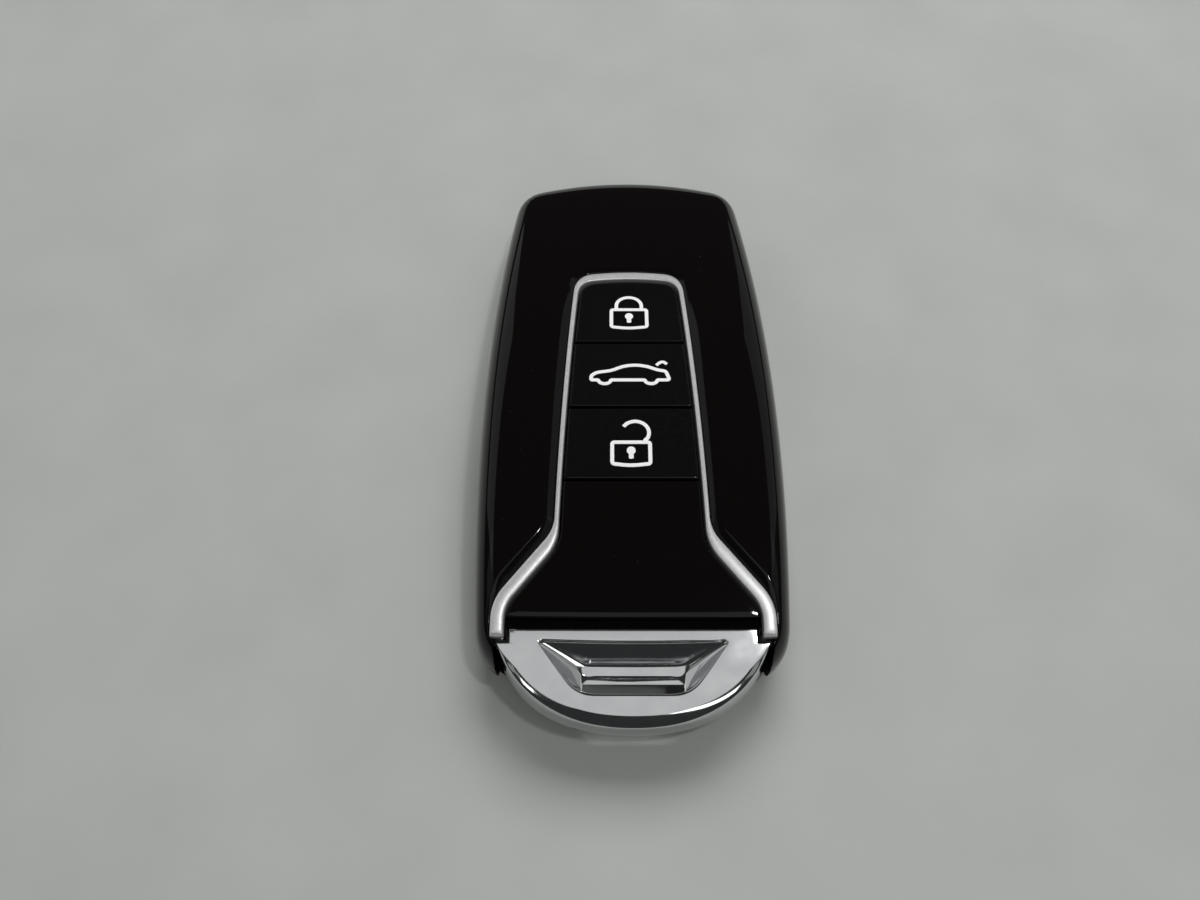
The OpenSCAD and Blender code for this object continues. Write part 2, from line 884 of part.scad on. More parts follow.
module plunger(i) {
  low = 0.1 + press_travel + 0.05;
  color(copper)
    translate([0, row_y(i), board_top_z + low])
      cylinder(h = switch_h + plunger_out - low, d = plunger_d, $fn = 32);
}

module lock_plunger() {
  plunger(2);
}

module boot_plunger() {
  plunger(1);
}

module unlock_plunger() {
  plunger(0);
}

module antenna_core() {
  s = antenna_side / 2;
  color(ferrite) {
    block(s, antenna_y - s, antenna_y + s, board_top_z, board_top_z + 0.5);
    block(s - 1.5, antenna_y - s + 1.5, antenna_y + s - 1.5, board_top_z, board_top_z + antenna_h - 0.5);
    block(s, antenna_y - s, antenna_y + s, board_top_z + antenna_h - 0.5, board_top_z + antenna_h);
  }
}

module antenna_winding() {
  s = antenna_side / 2;
  color(copper)
    difference() {
      block(
        s - 0.3,
        antenna_y - s + 0.3,
        antenna_y + s - 0.3,
        board_top_z + 0.5,
        board_top_z + antenna_h - 0.5
      );
      block(s - 1.5, antenna_y - s + 1.5, antenna_y + s - 1.5, 0, big);
    }
}

module control_chip() {
  color(resin)
    translate([-board_w / 2 + chip_edge, row_y(1) - control_side / 2, board_top_z])
      cube([control_side, control_side, chip_h]);
}

module radio_chip() {
  color(resin)
    translate([board_w / 2 - chip_edge - radio_side, row_y(2) - radio_side / 2, board_top_z])
      cube([radio_side, radio_side, chip_h]);
}

module crystal() {
  color(steel)
    translate([board_w / 2 - chip_edge - crystal_len, row_y(1) - crystal_len * 0.4, board_top_z])
      cube([crystal_len, crystal_len * 0.8, chip_h]);
}

upper_shell();
rear_cover();
trim_frame();
front_panel();
lock_button();
boot_button();
unlock_button();
key_head();
key_blade();
blade_pin();
release_button();
release_springs();
board_carrier();
circuit_board();
coin_cell();
contact_plus();
contact_minus();
lock_switch();
boot_switch();
unlock_switch();
lock_plunger();
boot_plunger();
unlock_plunger();
antenna_core();
antenna_winding();
control_chip();
radio_chip();
crystal();
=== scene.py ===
import math

import bmesh
import bpy
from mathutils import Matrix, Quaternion, Vector


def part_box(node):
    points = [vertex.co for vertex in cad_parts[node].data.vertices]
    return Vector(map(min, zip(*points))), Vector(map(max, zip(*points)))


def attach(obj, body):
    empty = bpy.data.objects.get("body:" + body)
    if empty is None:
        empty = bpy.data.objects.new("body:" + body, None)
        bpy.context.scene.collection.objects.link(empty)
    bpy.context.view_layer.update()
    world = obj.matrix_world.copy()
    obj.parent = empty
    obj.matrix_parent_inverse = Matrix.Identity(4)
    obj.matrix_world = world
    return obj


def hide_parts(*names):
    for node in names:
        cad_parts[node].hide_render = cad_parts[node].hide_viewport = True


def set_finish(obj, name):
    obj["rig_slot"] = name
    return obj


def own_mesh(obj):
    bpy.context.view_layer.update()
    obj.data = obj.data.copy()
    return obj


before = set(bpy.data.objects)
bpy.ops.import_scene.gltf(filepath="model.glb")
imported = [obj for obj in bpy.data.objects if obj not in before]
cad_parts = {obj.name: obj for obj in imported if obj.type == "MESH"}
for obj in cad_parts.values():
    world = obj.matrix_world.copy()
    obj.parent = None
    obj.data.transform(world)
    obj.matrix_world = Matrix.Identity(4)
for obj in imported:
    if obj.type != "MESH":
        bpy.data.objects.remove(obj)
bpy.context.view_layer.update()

# Body in millimetres, as in the part's source: y runs from the key head to the far end
MM = 0.001
FOB_LEN, FOB_W, FOB_H = 83.4, 39.3, 14.0
TIP_Y, END_Y = -FOB_LEN / 2, FOB_LEN / 2
WIDE_Y = TIP_Y + 34.0  # where the body is widest
CREST_Y = TIP_Y + 38.2  # where its top is highest
FLANK_Y = TIP_Y + 6.0  # near ends of the flanks beside the key head
SIDE_R, END_R, ARCH_R = 310.0, 40.0, 170.0
END_X = FOB_W * 0.42  # about where the far end meets the sides
END_CORNER, FLANK_CORNER, LEAST_CORNER = 3.6, 6.0, 0.8
SHOULDER, POWER = 4.0, 0.8  # width and fullness of the rounded shoulder
BASE_ROUND = 4.0
SEAM_Z, WALL = 5.5, 1.5
SEAM_EDGE = ((0.16, 0.0), (0.05, 0.05), (0.0, 0.18))  # rounding at the seam: inset, distance from it
FIT, RUN = 0.1, 0.2  # clearances of fixed and of moving pieces
HAIR = 0.02  # keeps faces from lying in one plane

# Bell-shaped trim, with the panel and the buttons in it
BACK_Y = TIP_Y + 10.8  # back of the key head
LEG_X, LEG_W, SIDE_W, TOP_W = 16.55, 1.55, 0.6, 1.35
LEG_END = BACK_Y - 1.0
BEND_Y = LEG_END + 3.95
WAIST_Y = BEND_Y + 8.55
WAIST_X, TOP_X, TOP_R = 9.42, 7.35, 36.0
PANEL_Y = BACK_Y + 1.2
SPLIT_Y = PANEL_Y + 16.8  # between the panel and the first button
UNLOCK_ROW, BOOT_ROW, LOCK_ROW = 0, 1, 2
KEY_ROWS = {"lock": LOCK_ROW, "boot": BOOT_ROW, "unlock": UNLOCK_ROW}
PITCH, BUTTON_GAP, TRIM_GAP, END_GAP = 10.15, 0.3, 0.3, 1.0
TOP_Y = SPLIT_Y + len(KEY_ROWS) * PITCH + END_GAP + TOP_W
SINK = 0.5  # panel and buttons below the arch of the body
SEAT_Z = FOB_H - 3.8  # trim and panel stand on it
BED_Z = SEAT_Z - 0.3
CAP_Z = BED_Z + 0.6

# Key head, the bay that takes it and the release button
BAY_X = 16.15
BULKHEAD_X, BULKHEAD_Y = 16.3, BACK_Y + 2.2
HEAD_W, HEAD_SINK, HEAD_Z = 31.9, 1.0, 2.0
BAR_Z, POCKET_Z = 6.9, 7.55
SLOT_Y, SLOT_W, LEDGE = TIP_Y + 1.15, 11.9, 0.8
SLOT_BACK = SLOT_Y + 4.15
RELEASE_Y, RELEASE_W, RELEASE_LEN, RELEASE_CORNER = BACK_Y + 5.2, 8.0, 4.0, 1.3


# Plain geometry

def clamp(t):
    return min(1.0, max(0.0, t))


def eased(t):
    """Smooth step from 0 to 1."""
    t = clamp(t)
    return t * t * (3 - 2 * t)


def steps(a, b, n):
    """n + 1 numbers from a to b."""
    return [a + (b - a) * i / n for i in range(n + 1)]


def lerp(a, b, t):
    return tuple(p + (q - p) * t for p, q in zip(a, b))


def toward(c, p, r):
    """Point at distance r from c on the way to p."""
    return lerp(c, p, r / math.dist(c, p))


def straight(a, b, n):
    """n points from a up to, but not with, b."""
    return [lerp(a, b, i / n) for i in range(n)]


def bent(p, c, q, t):
    """Number on the curve from p to q that is drawn towards c."""
    return (1 - t) ** 2 * p + 2 * t * (1 - t) * c + t * t * q


def corner(p, c, q, n):
    """Rounded corner from p to q about the sharp corner c, n + 1 points."""
    return [(bent(p[0], c[0], q[0], t), bent(p[1], c[1], q[1], t)) for t in steps(0.0, 1.0, n)]


def arc(cx, cy, rx, ry, a0, a1, n):
    """Part of an ellipse between two angles in degrees, n + 1 points."""
    turns = [math.radians(a) for a in steps(a0, a1, n)]
    return [(cx + rx * math.cos(a), cy + ry * math.sin(a)) for a in turns]


def even(path, n):
    """n + 1 points at even steps along a path."""
    run = [0.0]
    for a, b in zip(path, path[1:]):
        run.append(run[-1] + math.dist(a, b))
    out, k = [], 0
    for i in range(n + 1):
        s = run[-1] * i / n
        while k < len(path) - 2 and run[k + 1] < s:
            k += 1
        out.append(lerp(path[k], path[k + 1], (s - run[k]) / (run[k + 1] - run[k])))
    return out


def mirrored(half):
    """Closed outline from its right half, which starts and ends on the middle line."""
    return half + [(-p[0], *p[1:]) for p in half[-2:0:-1]]


def both_sides(columns):
    """Columns of the right half and on over the left half, with the last column shared."""
    return columns + [[(-x, y, z) for x, y, z in c] for c in reversed(columns[:-1])]


def flat(path, z):
    """Plan points at one height."""
    return [(x, y, z) for x, y in path]


# Forms of the body

def arch(y):
    """Height of the body's top along the middle."""
    return FOB_H - ARCH_R + math.sqrt(ARCH_R ** 2 - (y - CREST_Y) ** 2)


def side_x(y, d=0.0):
    return FOB_W / 2 - d - (y - WIDE_Y) ** 2 / (2 * SIDE_R)


def far_y(x, d=0.0):
    return END_Y - d - x * x / (2 * END_R)


def flank_x(y):
    """Half width of the outline near the flank ends, with their rounded corners."""
    if y >= FLANK_Y + FLANK_CORNER:
        return side_x(y)
    t = math.sqrt(max(y - FLANK_Y, 0) / FLANK_CORNER)
    c = side_x(FLANK_Y)
    return bent(c - FLANK_CORNER, c, side_x(FLANK_Y + FLANK_CORNER), t)


def inside(x, y, d):
    """Whether a plan point on the right half lies within the outline drawn in by d."""
    sx, fy, ny = side_x(y, d) - x, far_y(x, d) - y, y - FLANK_Y - d
    if min(sx, fy, ny) < 0:
        return False
    for full, e in ((END_CORNER, fy), (FLANK_CORNER, ny)):
        r = max(full - d, LEAST_CORNER)
        if sx < r and e < r and math.sqrt(sx / r) + math.sqrt(e / r) < 1:
            return False
    return True


def halve(test, low, high, tries=34):
    """Largest value for which the test holds, between low where it holds and high."""
    for _ in range(tries):
        mid = (low + high) / 2
        low, high = (mid, high) if test(mid) else (low, mid)
    return low


def inset_of(x, y):
    """How far inside the outline a plan point lies, up to the shoulder's width."""
    if inside(x, y, SHOULDER):
        return SHOULDER
    return halve(lambda d: inside(x, y, d), 0.0, SHOULDER)


def share_to(o, p, d):
    """Share of the way from the outline point o to p at which the inset d is reached."""
    return halve(lambda s: not inside(*lerp(o, p, s), d), 0.0, 1.0)


def draw_in(a):
    """Inset of the shoulder at an angle up from the seam."""
    return SHOULDER * (1 - max(math.cos(a), 0.0) ** POWER)


def lift(a):
    """Share of the height reached at that angle."""
    return max(math.sin(a), 0.0) ** POWER


def angle_of(d):
    """Angle at which the shoulder has the inset d."""
    if d >= SHOULDER:
        return math.pi / 2
    return math.acos(min(1.0, max(0.0, 1 - d / SHOULDER) ** (1 / POWER)))


def shell_z(x, y):
    """Height of the shell's top over a plan point on the right half."""
    return SEAM_Z + lift(angle_of(inset_of(x, y))) * (arch(y) - SEAM_Z)


# Bell outline of the trim

LEG, BEND, FLARE, WAIST, SIDE, TIP, TOP = 8, 12, 16, 12, 44, 14, 12  # steps along its stretches
TIP_AT = LEG + BEND + FLARE + WAIST + SIDE
BEND_R, BEND_FALL = 2.2, 0.36  # each corner's size, and its change by the millimetre drawn in
NECK_R, NECK_GAIN = 1.6, 0.29
TIP_R, TIP_FALL, TIP_LEAST = 3.1, 0.6, 1.2
TIP_LIFT = 0.12
SIDE_BOW = 0.18


def moved_line(a, b, d):
    """Line from a to b moved to its left by d, as a point and a direction."""
    n = math.dist(a, b)
    u = ((b[0] - a[0]) / n, (b[1] - a[1]) / n)
    return (a[0] - d * u[1], a[1] + d * u[0]), u


def meet(first, second):
    (p, u), (q, v) = first, second
    s = ((q[0] - p[0]) * v[1] - (q[1] - p[1]) * v[0]) / (u[0] * v[1] - u[1] * v[0])
    return p[0] + u[0] * s, p[1] + u[1] * s


def half_bell(leg_d, side_d, top_d):
    """Right half of the bell from foot to middle, drawn in by leg_d up to the waist, side_d and top_d."""
    def top(x):
        return x, TOP_Y - top_d - x * x / (2 * TOP_R)

    leg = moved_line((LEG_X, LEG_END), (LEG_X, BEND_Y), leg_d)
    flare = moved_line((LEG_X, BEND_Y), (WAIST_X, WAIST_Y), leg_d)
    side = moved_line((WAIST_X, WAIST_Y), (TOP_X, TOP_Y), side_d)
    foot = (LEG_X - leg_d, LEG_END)
    bend, waist = meet(leg, flare), meet(flare, side)
    tip = meet(side, ((0.0, top(TOP_X)[1]), (1.0, 0.0)))
    low, mid = BEND_R - BEND_FALL * leg_d, NECK_R + NECK_GAIN * leg_d
    r = max(TIP_R - TIP_FALL * top_d, TIP_LEAST)
    turn = corner(toward(bend, foot, low), bend, toward(bend, waist, low), BEND)
    neck = corner(toward(waist, bend, mid), waist, toward(waist, tip, mid), WAIST)
    cap = corner(toward(tip, waist, r), (tip[0], tip[1] + TIP_LIFT * r), top(tip[0] - r), TIP)
    bowed = []
    for i, (x, y) in enumerate(straight(neck[-1], cap[0], SIDE)):
        bowed.append((x + 4 * SIDE_BOW * i / SIDE * (1 - i / SIDE), y))
    return (
        straight(foot, turn[0], LEG) + turn[:-1]
        + straight(turn[-1], neck[0], FLARE) + neck[:-1]
        + bowed + cap[:-1]
        + [top(cap[-1][0] * (1 - i / TOP)) for i in range(TOP + 1)]
    )


def bell_in(gap):
    """Bell outline at a gap inside the trim."""
    return half_bell(LEG_W + gap, SIDE_W + gap, TOP_W + gap)


# Meshes

class Build:
    """Gathers the closed forms of one piece."""

    def __init__(self):
        self.verts, self.faces = [], []

    def add(self, verts, faces):
        n = len(self.verts)
        self.verts += verts
        self.faces += [[i + n for i in f] for f in faces]

    def strips(self, columns, closed=False, ends=False):
        """Skin over columns of equal count. closed joins each column's ends, ends caps the outer columns."""
        m = len(columns[0])
        faces = []
        for j in range(len(columns) - 1):
            for k in range(m if closed else m - 1):
                a, b = j * m + k, j * m + (k + 1) % m
                faces.append([a, b, b + m, a + m])
        if ends:
            faces.append(list(range(m)))
            faces.append([(len(columns) - 1) * m + k for k in reversed(range(m))])
        self.add([p for c in columns for p in c], faces)

    def block(self, x0, x1, y0, y1, z0, z1, r=0.15):
        """Upright block with small chamfers on every edge."""
        loops = []
        for z, d in ((z0, r), (z0 + r, 0), (z1 - r, 0), (z1, r)):
            a, b, c, e = x0 + d, x1 - d, y0 + d, y1 - d
            loops.append([
                (a + r, c, z), (b - r, c, z), (b, c + r, z), (b, e - r, z),
                (b - r, e, z), (a + r, e, z), (a, e - r, z), (a, c + r, z),
            ])
        self.strips(loops, closed=True, ends=True)

    def lathe(self, x, y, profile, n=40):
        """Turned form about an upright axis, profile as (radius, z)."""
        turns = [2 * math.pi * i / n for i in range(n)]
        rings = [[(x + r * math.cos(a), y + r * math.sin(a), z) for a in turns] for r, z in profile]
        self.strips(rings, closed=True, ends=True)


def solid(loops):
    """Closed form through loops of equal count."""
    b = Build()
    b.strips(loops, closed=True, ends=True)
    return b


def placed(name, data):
    """New object in the scene."""
    obj = bpy.data.objects.new(name, data)
    bpy.context.scene.collection.objects.link(obj)
    return obj


def mesh_of(name, build, weld):
    """Mesh in metres with its faces turned outwards, and doubled points joined where weld is set."""
    mesh = bpy.data.meshes.new(name)
    mesh.from_pydata([tuple(v * MM for v in p) for p in build.verts], [], build.faces)
    bm = bmesh.new()
    bm.from_mesh(mesh)
    if weld:
        bmesh.ops.remove_doubles(bm, verts=bm.verts, dist=1.5e-6)
        bmesh.ops.dissolve_degenerate(bm, edges=bm.edges, dist=1e-7)
    bmesh.ops.recalc_face_normals(bm, faces=bm.faces)
    bm.to_mesh(mesh)
    bm.free()
    return mesh


def piece(name, build, body, slot, nodes=(), angle=32):
    """One object of the model, smooth but for edges over the angle."""
    mesh = mesh_of(name, build, weld=True)
    mesh.shade_smooth()
    mesh.set_sharp_from_angle(angle=math.radians(angle))
    obj = placed(name, mesh)
    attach(obj, body)
    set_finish(obj, slot)
    if nodes:
        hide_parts(*nodes)
    return obj


def cut(obj, build, angle=None):
    """Takes a closed form out of a piece, and marks its edges over the angle again."""
    tool = placed("cutter", mesh_of("cutter", build, weld=False))
    mod = obj.modifiers.new("cut", "BOOLEAN")
    mod.operation, mod.solver, mod.object = "DIFFERENCE", "EXACT", tool
    bpy.context.view_layer.update()
    made = bpy.data.meshes.new_from_object(obj.evaluated_get(bpy.context.evaluated_depsgraph_get()))
    obj.modifiers.remove(mod)
    obj.data = made
    bpy.data.objects.remove(tool)
    if angle:
        made.set_sharp_from_angle(angle=math.radians(angle))


# Upper shell

CHAMFER, CHAMFER_DROP, END_CHAMFER = 1.35, 0.5, 0.85  # rolled strip beside the trim
STRIP_LEAST, STRIP_ROOM = 0.12, 0.4  # its width along the flanks, as shares of the full one and of the room
STRIP_FROM, STRIP_POWER = 2, 1.5  # step of the leg from which it widens, and how
END_FALL = 0.5  # share of its drop that is lost towards the closed end
STRIP_STEPS = (0.96, 0.92, 0.88, 0.84, 0.8, 0.76, 0.72, 0.5, 0.28, 0.12, 0.05, 0.015, 0.0)
STRIP_MID, STRIP_SOFT = 0.8, 0.18  # where its crease lies, and how soft it is
EDGE_SHARE, EDGE_DROP = 0.12, 0.09  # rounded edge of the opening
LEG_LAP = 0.4  # the seat reaches past the leg's end
SEAT_IN, SEAT_OUT, SEAT_DEEP = 14.55, 16.4, 1.75
REACH_Y, MIDDLE_X, FAN = 33.0, 8.5, 0.28  # how the columns fan out round the far corner
ROWS, INNER_ROWS = 28, 6
SHOULDER_RUN, SHOULDER_LEAST = 7.5, 0.5  # length that its rows count for, and their least share
HOLLOW_RUN = 1.2  # stretch over which the wall becomes hollow behind the bulkhead


def flank_columns(leg):
    """Columns along the flank beside the key head, up to the foot of the trim's leg."""
    near, far = halve(lambda y: flank_x(y) < BAY_X, FLANK_Y, FLANK_Y + FLANK_CORNER), LEG_END - LEG_LAP
    path = [(BAY_X, y) for y in steps(near, far, 12)] + straight((BAY_X, far), leg, 4)[1:]
    out = []
    for x, y in path:
        o = (flank_x(y), y)
        scale = min(STRIP_LEAST, STRIP_ROOM * (o[0] - x) / CHAMFER)
        out.append(((x, y), (x + CHAMFER, y), o, scale, CHAMFER_DROP * scale))
    return out


def far_corner():
    """Outline from the side round the far corner to the middle stretch of the far end."""
    x1 = side_x(far_y(END_X))
    c = (x1, far_y(x1))
    y_end, x_end = c[1] - END_CORNER, x1 - END_CORNER
    path = [(side_x(y), y) for y in steps(REACH_Y, y_end, 6)[:-1]]
    path += corner((side_x(y_end), y_end), c, (x_end, far_y(x_end)), 24)
    path += [(x, far_y(x)) for x in steps(x_end, MIDDLE_X, 8)[1:]]
    return even(path, TIP)


def bell_columns(edge, wide):
    """Columns round the trim, from the foot of its leg to the middle of its closed end."""
    y0, y1 = edge[0][1], edge[TIP_AT][1]
    bow = far_corner()
    out = []
    for j, (p, w) in enumerate(zip(edge, wide)):
        if j < TIP_AT:
            t = (p[1] - y0) / (y1 - y0)
            y = y0 + (REACH_Y - y0) * ((1 - FAN) * t + FAN * t * t)
            o = (flank_x(y), y)
        elif j < TIP_AT + TIP:
            o = bow[j - TIP_AT]
        else:
            x = MIDDLE_X * (1 - (j - TIP_AT - TIP) / TOP)
            o = (x, far_y(x))
        scale = STRIP_LEAST + (1 - STRIP_LEAST) * clamp((j - STRIP_FROM) / (LEG + BEND)) ** STRIP_POWER
        fall = CHAMFER_DROP * scale * (1 - END_FALL * clamp((j - TIP_AT + SIDE) / SIDE))
        out.append((p, w, o, scale, fall))
    return out


def shell_path():
    """Columns of the right half: opening edge, edge of the rolled strip, outline point, strip scale, fall."""
    edge = half_bell(-FIT, -FIT, -FIT)
    wide = half_bell(-FIT - CHAMFER, -FIT - CHAMFER, -FIT - END_CHAMFER)
    return flank_columns(edge[0]) + bell_columns(edge, wide)


def outer_wall(o, strip, d):
    """Points from the seam over the shoulder to the strip's outer edge, d inside the outline."""
    run, a_end = math.dist(o, strip), angle_of(d)
    crest = share_to(o, strip, SHOULDER) if d >= SHOULDER else 1.0
    part = max(SHOULDER_LEAST, SHOULDER_RUN / (SHOULDER_RUN + (1 - crest) * run))
    col = []
    for depth, up in SEAM_EDGE:
        col.append((*lerp(o, strip, min(depth / max(run, 0.2), 0.9)), SEAM_Z + up))
    for k in range(1, ROWS + 1):
        q = k / ROWS
        if q <= part:
            a = a_end * q / part
            p = strip if k == ROWS else lerp(o, strip, share_to(o, strip, draw_in(a)))
            z = SEAM_Z + lift(a) * (arch(p[1]) - SEAM_Z)
        else:
            p = lerp(o, strip, crest + (1 - crest) * (q - part) / (1 - part))
            z = arch(p[1])
        col.append((*p, max(z, SEAM_Z + SEAM_EDGE[-1][1])))
    return col


def rolled(t):
    """Depth share of the strip beside the trim, from none outside its crease to 1 at its edge."""
    if t > STRIP_MID + STRIP_SOFT:
        return 0.0
    if t > STRIP_MID - STRIP_SOFT:
        return (STRIP_MID + STRIP_SOFT - t) ** 2 / (4 * STRIP_SOFT) / STRIP_MID
    return (STRIP_MID - t) / STRIP_MID


def rolled_strip(edge, strip, fall):
    """Points over the strip beside the trim, down to the rounded edge of the opening."""
    col = []
    for t in STRIP_STEPS:
        p = lerp(edge, strip, t)
        off = max(0.0, EDGE_SHARE - t) / EDGE_SHARE
        turn = EDGE_DROP * (1 - math.sqrt(max(0.0, 1 - off ** 2)))
        col.append((*p, shell_z(*p) - fall * rolled(t) - turn))
    return col


def inner_wall(o, edge, a_end, top):
    """Points down the inside of the wall, which is solid beside the key head."""
    hollow = clamp((edge[1] - BULKHEAD_Y + HOLLOW_RUN / 2) / HOLLOW_RUN)
    foot = SEAM_Z + hollow * max(0.0, arch(edge[1]) - WALL - SEAM_Z)
    col = [(*edge, min(foot, top))]
    for k in range(INNER_ROWS, -1, -1):
        a = a_end * k / INNER_ROWS
        p = lerp(o, edge, min(share_to(o, edge, WALL + draw_in(a)), 0.95))
        col.append((*p, SEAM_Z + hollow * lift(a) * (arch(p[1]) - WALL - SEAM_Z)))
    return col


def shell_column(edge, wide, o, scale, fall):
    """Closed run of points over the shell's wall at one place of the path."""
    strip = lerp(edge, wide, scale)
    d = inset_of(*strip)
    col = outer_wall(o, strip, d) + rolled_strip(edge, strip, fall)
    return col + inner_wall(o, edge, angle_of(d), col[-1][2])


def upper_shell():
    b = Build()
    b.strips(both_sides([shell_column(*c) for c in shell_path()]), closed=True)
    for s in (-1, 1):
        across = sorted((s * SEAT_IN, s * SEAT_OUT))
        b.block(*across, LEG_END - LEG_LAP, BACK_Y + LEG_LAP, SEAT_Z - SEAT_DEEP, SEAT_Z)
    return piece("shell_upper", b, "fob_body", "shell_black", ["upper_shell"], angle=40)


def bulkhead():
    """Wall across the shell behind the key head, in its shade, with a darker, duller finish than the shell's
    as painted shade.
    """
    b = Build()
    b.block(-BULKHEAD_X, BULKHEAD_X, BACK_Y + FIT, BULKHEAD_Y, SEAM_Z, SEAT_Z - HAIR, r=0.03)
    return piece("shell_bulkhead", b, "fob_body", "shell_black")


# Bright trim

TRIM_ROWS, TRIM_SINK = 14, 0.12
TRIM_POWER = 0.4  # fullness of its rounded top, squarer the lower it is
CROWN_LEAST, CROWN_GAIN, CROWN_RUN = 0.26, 0.2, 0.9  # depth of the rounding, more where the trim is wide
TRIM_FOOT, TAIL_ROUND, TAIL_LOW = 0.3, 0.7, 0.55  # rounded ends of the legs


def trim_frame():
    columns = []
    foot = SEAT_Z + TRIM_FOOT
    for j, (p, q) in enumerate(zip(half_bell(0, 0, 0), bell_in(0))):
        crown = CROWN_LEAST + CROWN_GAIN * clamp((math.dist(p, q) - SIDE_W) / CROWN_RUN)
        off = max(0.0, 1 - (p[1] - LEG_END) / TAIL_ROUND)
        tail = math.sqrt(max(0.0, 1 - off ** 2)) if j < LEG else 1.0
        col = [(*p, SEAT_Z)]
        for a in steps(0.0, math.pi, TRIM_ROWS):
            c = lerp(p, q, (1 - math.cos(a)) / 2)
            z = arch(c[1]) - TRIM_SINK - crown * (1 - math.sin(a) ** TRIM_POWER)
            col.append((*c, foot + (z - foot) * (TAIL_LOW + (1 - TAIL_LOW) * tail)))
        col.append((*q, SEAT_Z))
        columns.append(col)
    return piece("trim_bright", solid(both_sides(columns)), "fob_body", "chrome", ["trim_frame"], angle=50)


# Buttons and blank panel

ACROSS, ALONG, CUSHION = 28, 36, 5  # steps over a top and round its edge
PAD_ROUND, PANEL_BOW = 0.22, 0.12
STEM_Z, STEM_R, HOOK_R, STEM_LAP = 8.35, 1.2, 1.55, 0.3
BED_THICK, BED_LAP, BED_GAP = 0.8, 0.3, 0.5
POST_X, POST_R, POST_Z, POST_EDGE = 6.0, 0.9, 6.65, 0.1


def row_y(i):
    """Middle of a button's row."""
    return SPLIT_Y + (i + 0.5) * PITCH


def pad_z(y):
    """Height of the tops of panel and buttons."""
    return arch(y) - SINK


def x_at(path, y):
    """Half width of a bell outline at y, below its closed end."""
    for a, b in zip(path, path[1:]):
        if a[1] <= y <= b[1]:
            return a[0] + (b[0] - a[0]) * (y - a[1]) / max(b[1] - a[1], 1e-9)
    return path[0][0]


def coons(near, right, far, left):
    """Patch of plan points between four edges: near and far run to +x, left and right to +y."""
    n, m = len(near) - 1, len(left) - 1
    rows = []
    for j in range(m + 1):
        v = j / m
        row = []
        for i in range(n + 1):
            u = i / n
            row.append(tuple(
                (1 - v) * near[i][k] + v * far[i][k] + (1 - u) * left[j][k] + u * right[j][k]
                - (1 - u) * (1 - v) * near[0][k] - u * (1 - v) * near[n][k]
                - (1 - u) * v * far[0][k] - u * v * far[n][k]
                for k in (0, 1)
            ))
        rows.append(row)
    return rows


def pad_edges(y0, y1, draw, bow):
    """Edges of a button or the panel drawn in by draw. y1 None ends at the trim's closed end."""
    path = bell_in(TRIM_GAP + draw)
    y0 += draw
    if y1 is None:
        cap, half = path[TIP_AT:], TIP // 2
        lower = [(x_at(path, y), y) for y in steps(y0, cap[0][1], 24)[:-1]]
        right = even(lower + cap[: half + 1], ALONG)
        end = even(cap[half:], ACROSS // 2)
        far = [(-x, y) for x, y in end] + end[::-1][1:]
    else:
        y1 -= draw
        right = even([(x_at(path, y), y) for y in steps(y0, y1, 200)], ALONG)
        far = [(x, y1) for x in steps(-right[-1][0], right[-1][0], ACROSS)]
    near = [(right[0][0] * u, y0 - bow * (1 - u * u)) for u in steps(-1.0, 1.0, ACROSS)]
    left = [(-x, y) for x, y in right]
    return near, right, far, left


def pad(build, y0, y1, foot, bow=0.0):
    """Cushion-edged top of a button or the panel, on the arch, down to its foot."""
    rows = coons(*pad_edges(y0, y1, PAD_ROUND, bow))
    build.strips([[(x, y, pad_z(y)) for x, y in row] for row in rows])
    loops = []
    for a in steps(0.0, math.pi / 2, CUSHION):
        near, right, far, left = pad_edges(y0, y1, PAD_ROUND * (1 - math.sin(a)), bow)
        loop = near + right[1:] + far[::-1][1:] + left[::-1][1:-1]
        loops.append([(x, y, pad_z(y) - PAD_ROUND * (1 - math.cos(a))) for x, y in loop])
    loops.append(flat(loop, foot))
    build.strips(loops, closed=True)
    build.add(loops[-1], [list(range(len(loop)))[::-1]])


def push_button(key, i):
    """Button of row i, with the hooked stem that goes through the bed."""
    b = Build()
    y0 = SPLIT_Y + i * PITCH + BUTTON_GAP / 2
    y1 = None if i == LOCK_ROW else SPLIT_Y + (i + 1) * PITCH - BUTTON_GAP / 2
    pad(b, y0, y1, CAP_Z)
    stem = [(STEM_R - 0.2, 0.0), (STEM_R, 0.05), (HOOK_R, 0.4), (STEM_R, 0.42)]
    profile = [(r, STEM_Z + up) for r, up in stem] + [(STEM_R, CAP_Z + STEM_LAP)]
    b.lathe(0, row_y(i), profile)
    return piece("button_" + key, b, key + "_key", "button_black", [key + "_button"])


def front_panel():
    """Blank panel, with the bed under the buttons and its four posts."""
    b = Build()
    pad(b, PANEL_Y, SPLIT_Y - BUTTON_GAP / 2, SEAT_Z, bow=PANEL_BOW)
    half = [p for p in bell_in(-BED_LAP) if p[1] > BULKHEAD_Y + BED_GAP]
    bed = half + [(-x, y) for x, y in reversed(half)]
    b.strips([flat(bed, z) for z in (BED_Z - BED_THICK, BED_Z)], closed=True, ends=True)
    post = [(POST_R - POST_EDGE, POST_Z), (POST_R, POST_Z + POST_EDGE), (POST_R, BED_Z)]
    for x in (-POST_X, POST_X):
        for i in (UNLOCK_ROW, LOCK_ROW):
            b.lathe(x, row_y(i), post, n=24)
    return piece("panel_front", b, "fob_body", "shell_black", ["front_panel"])


# White symbols on the buttons

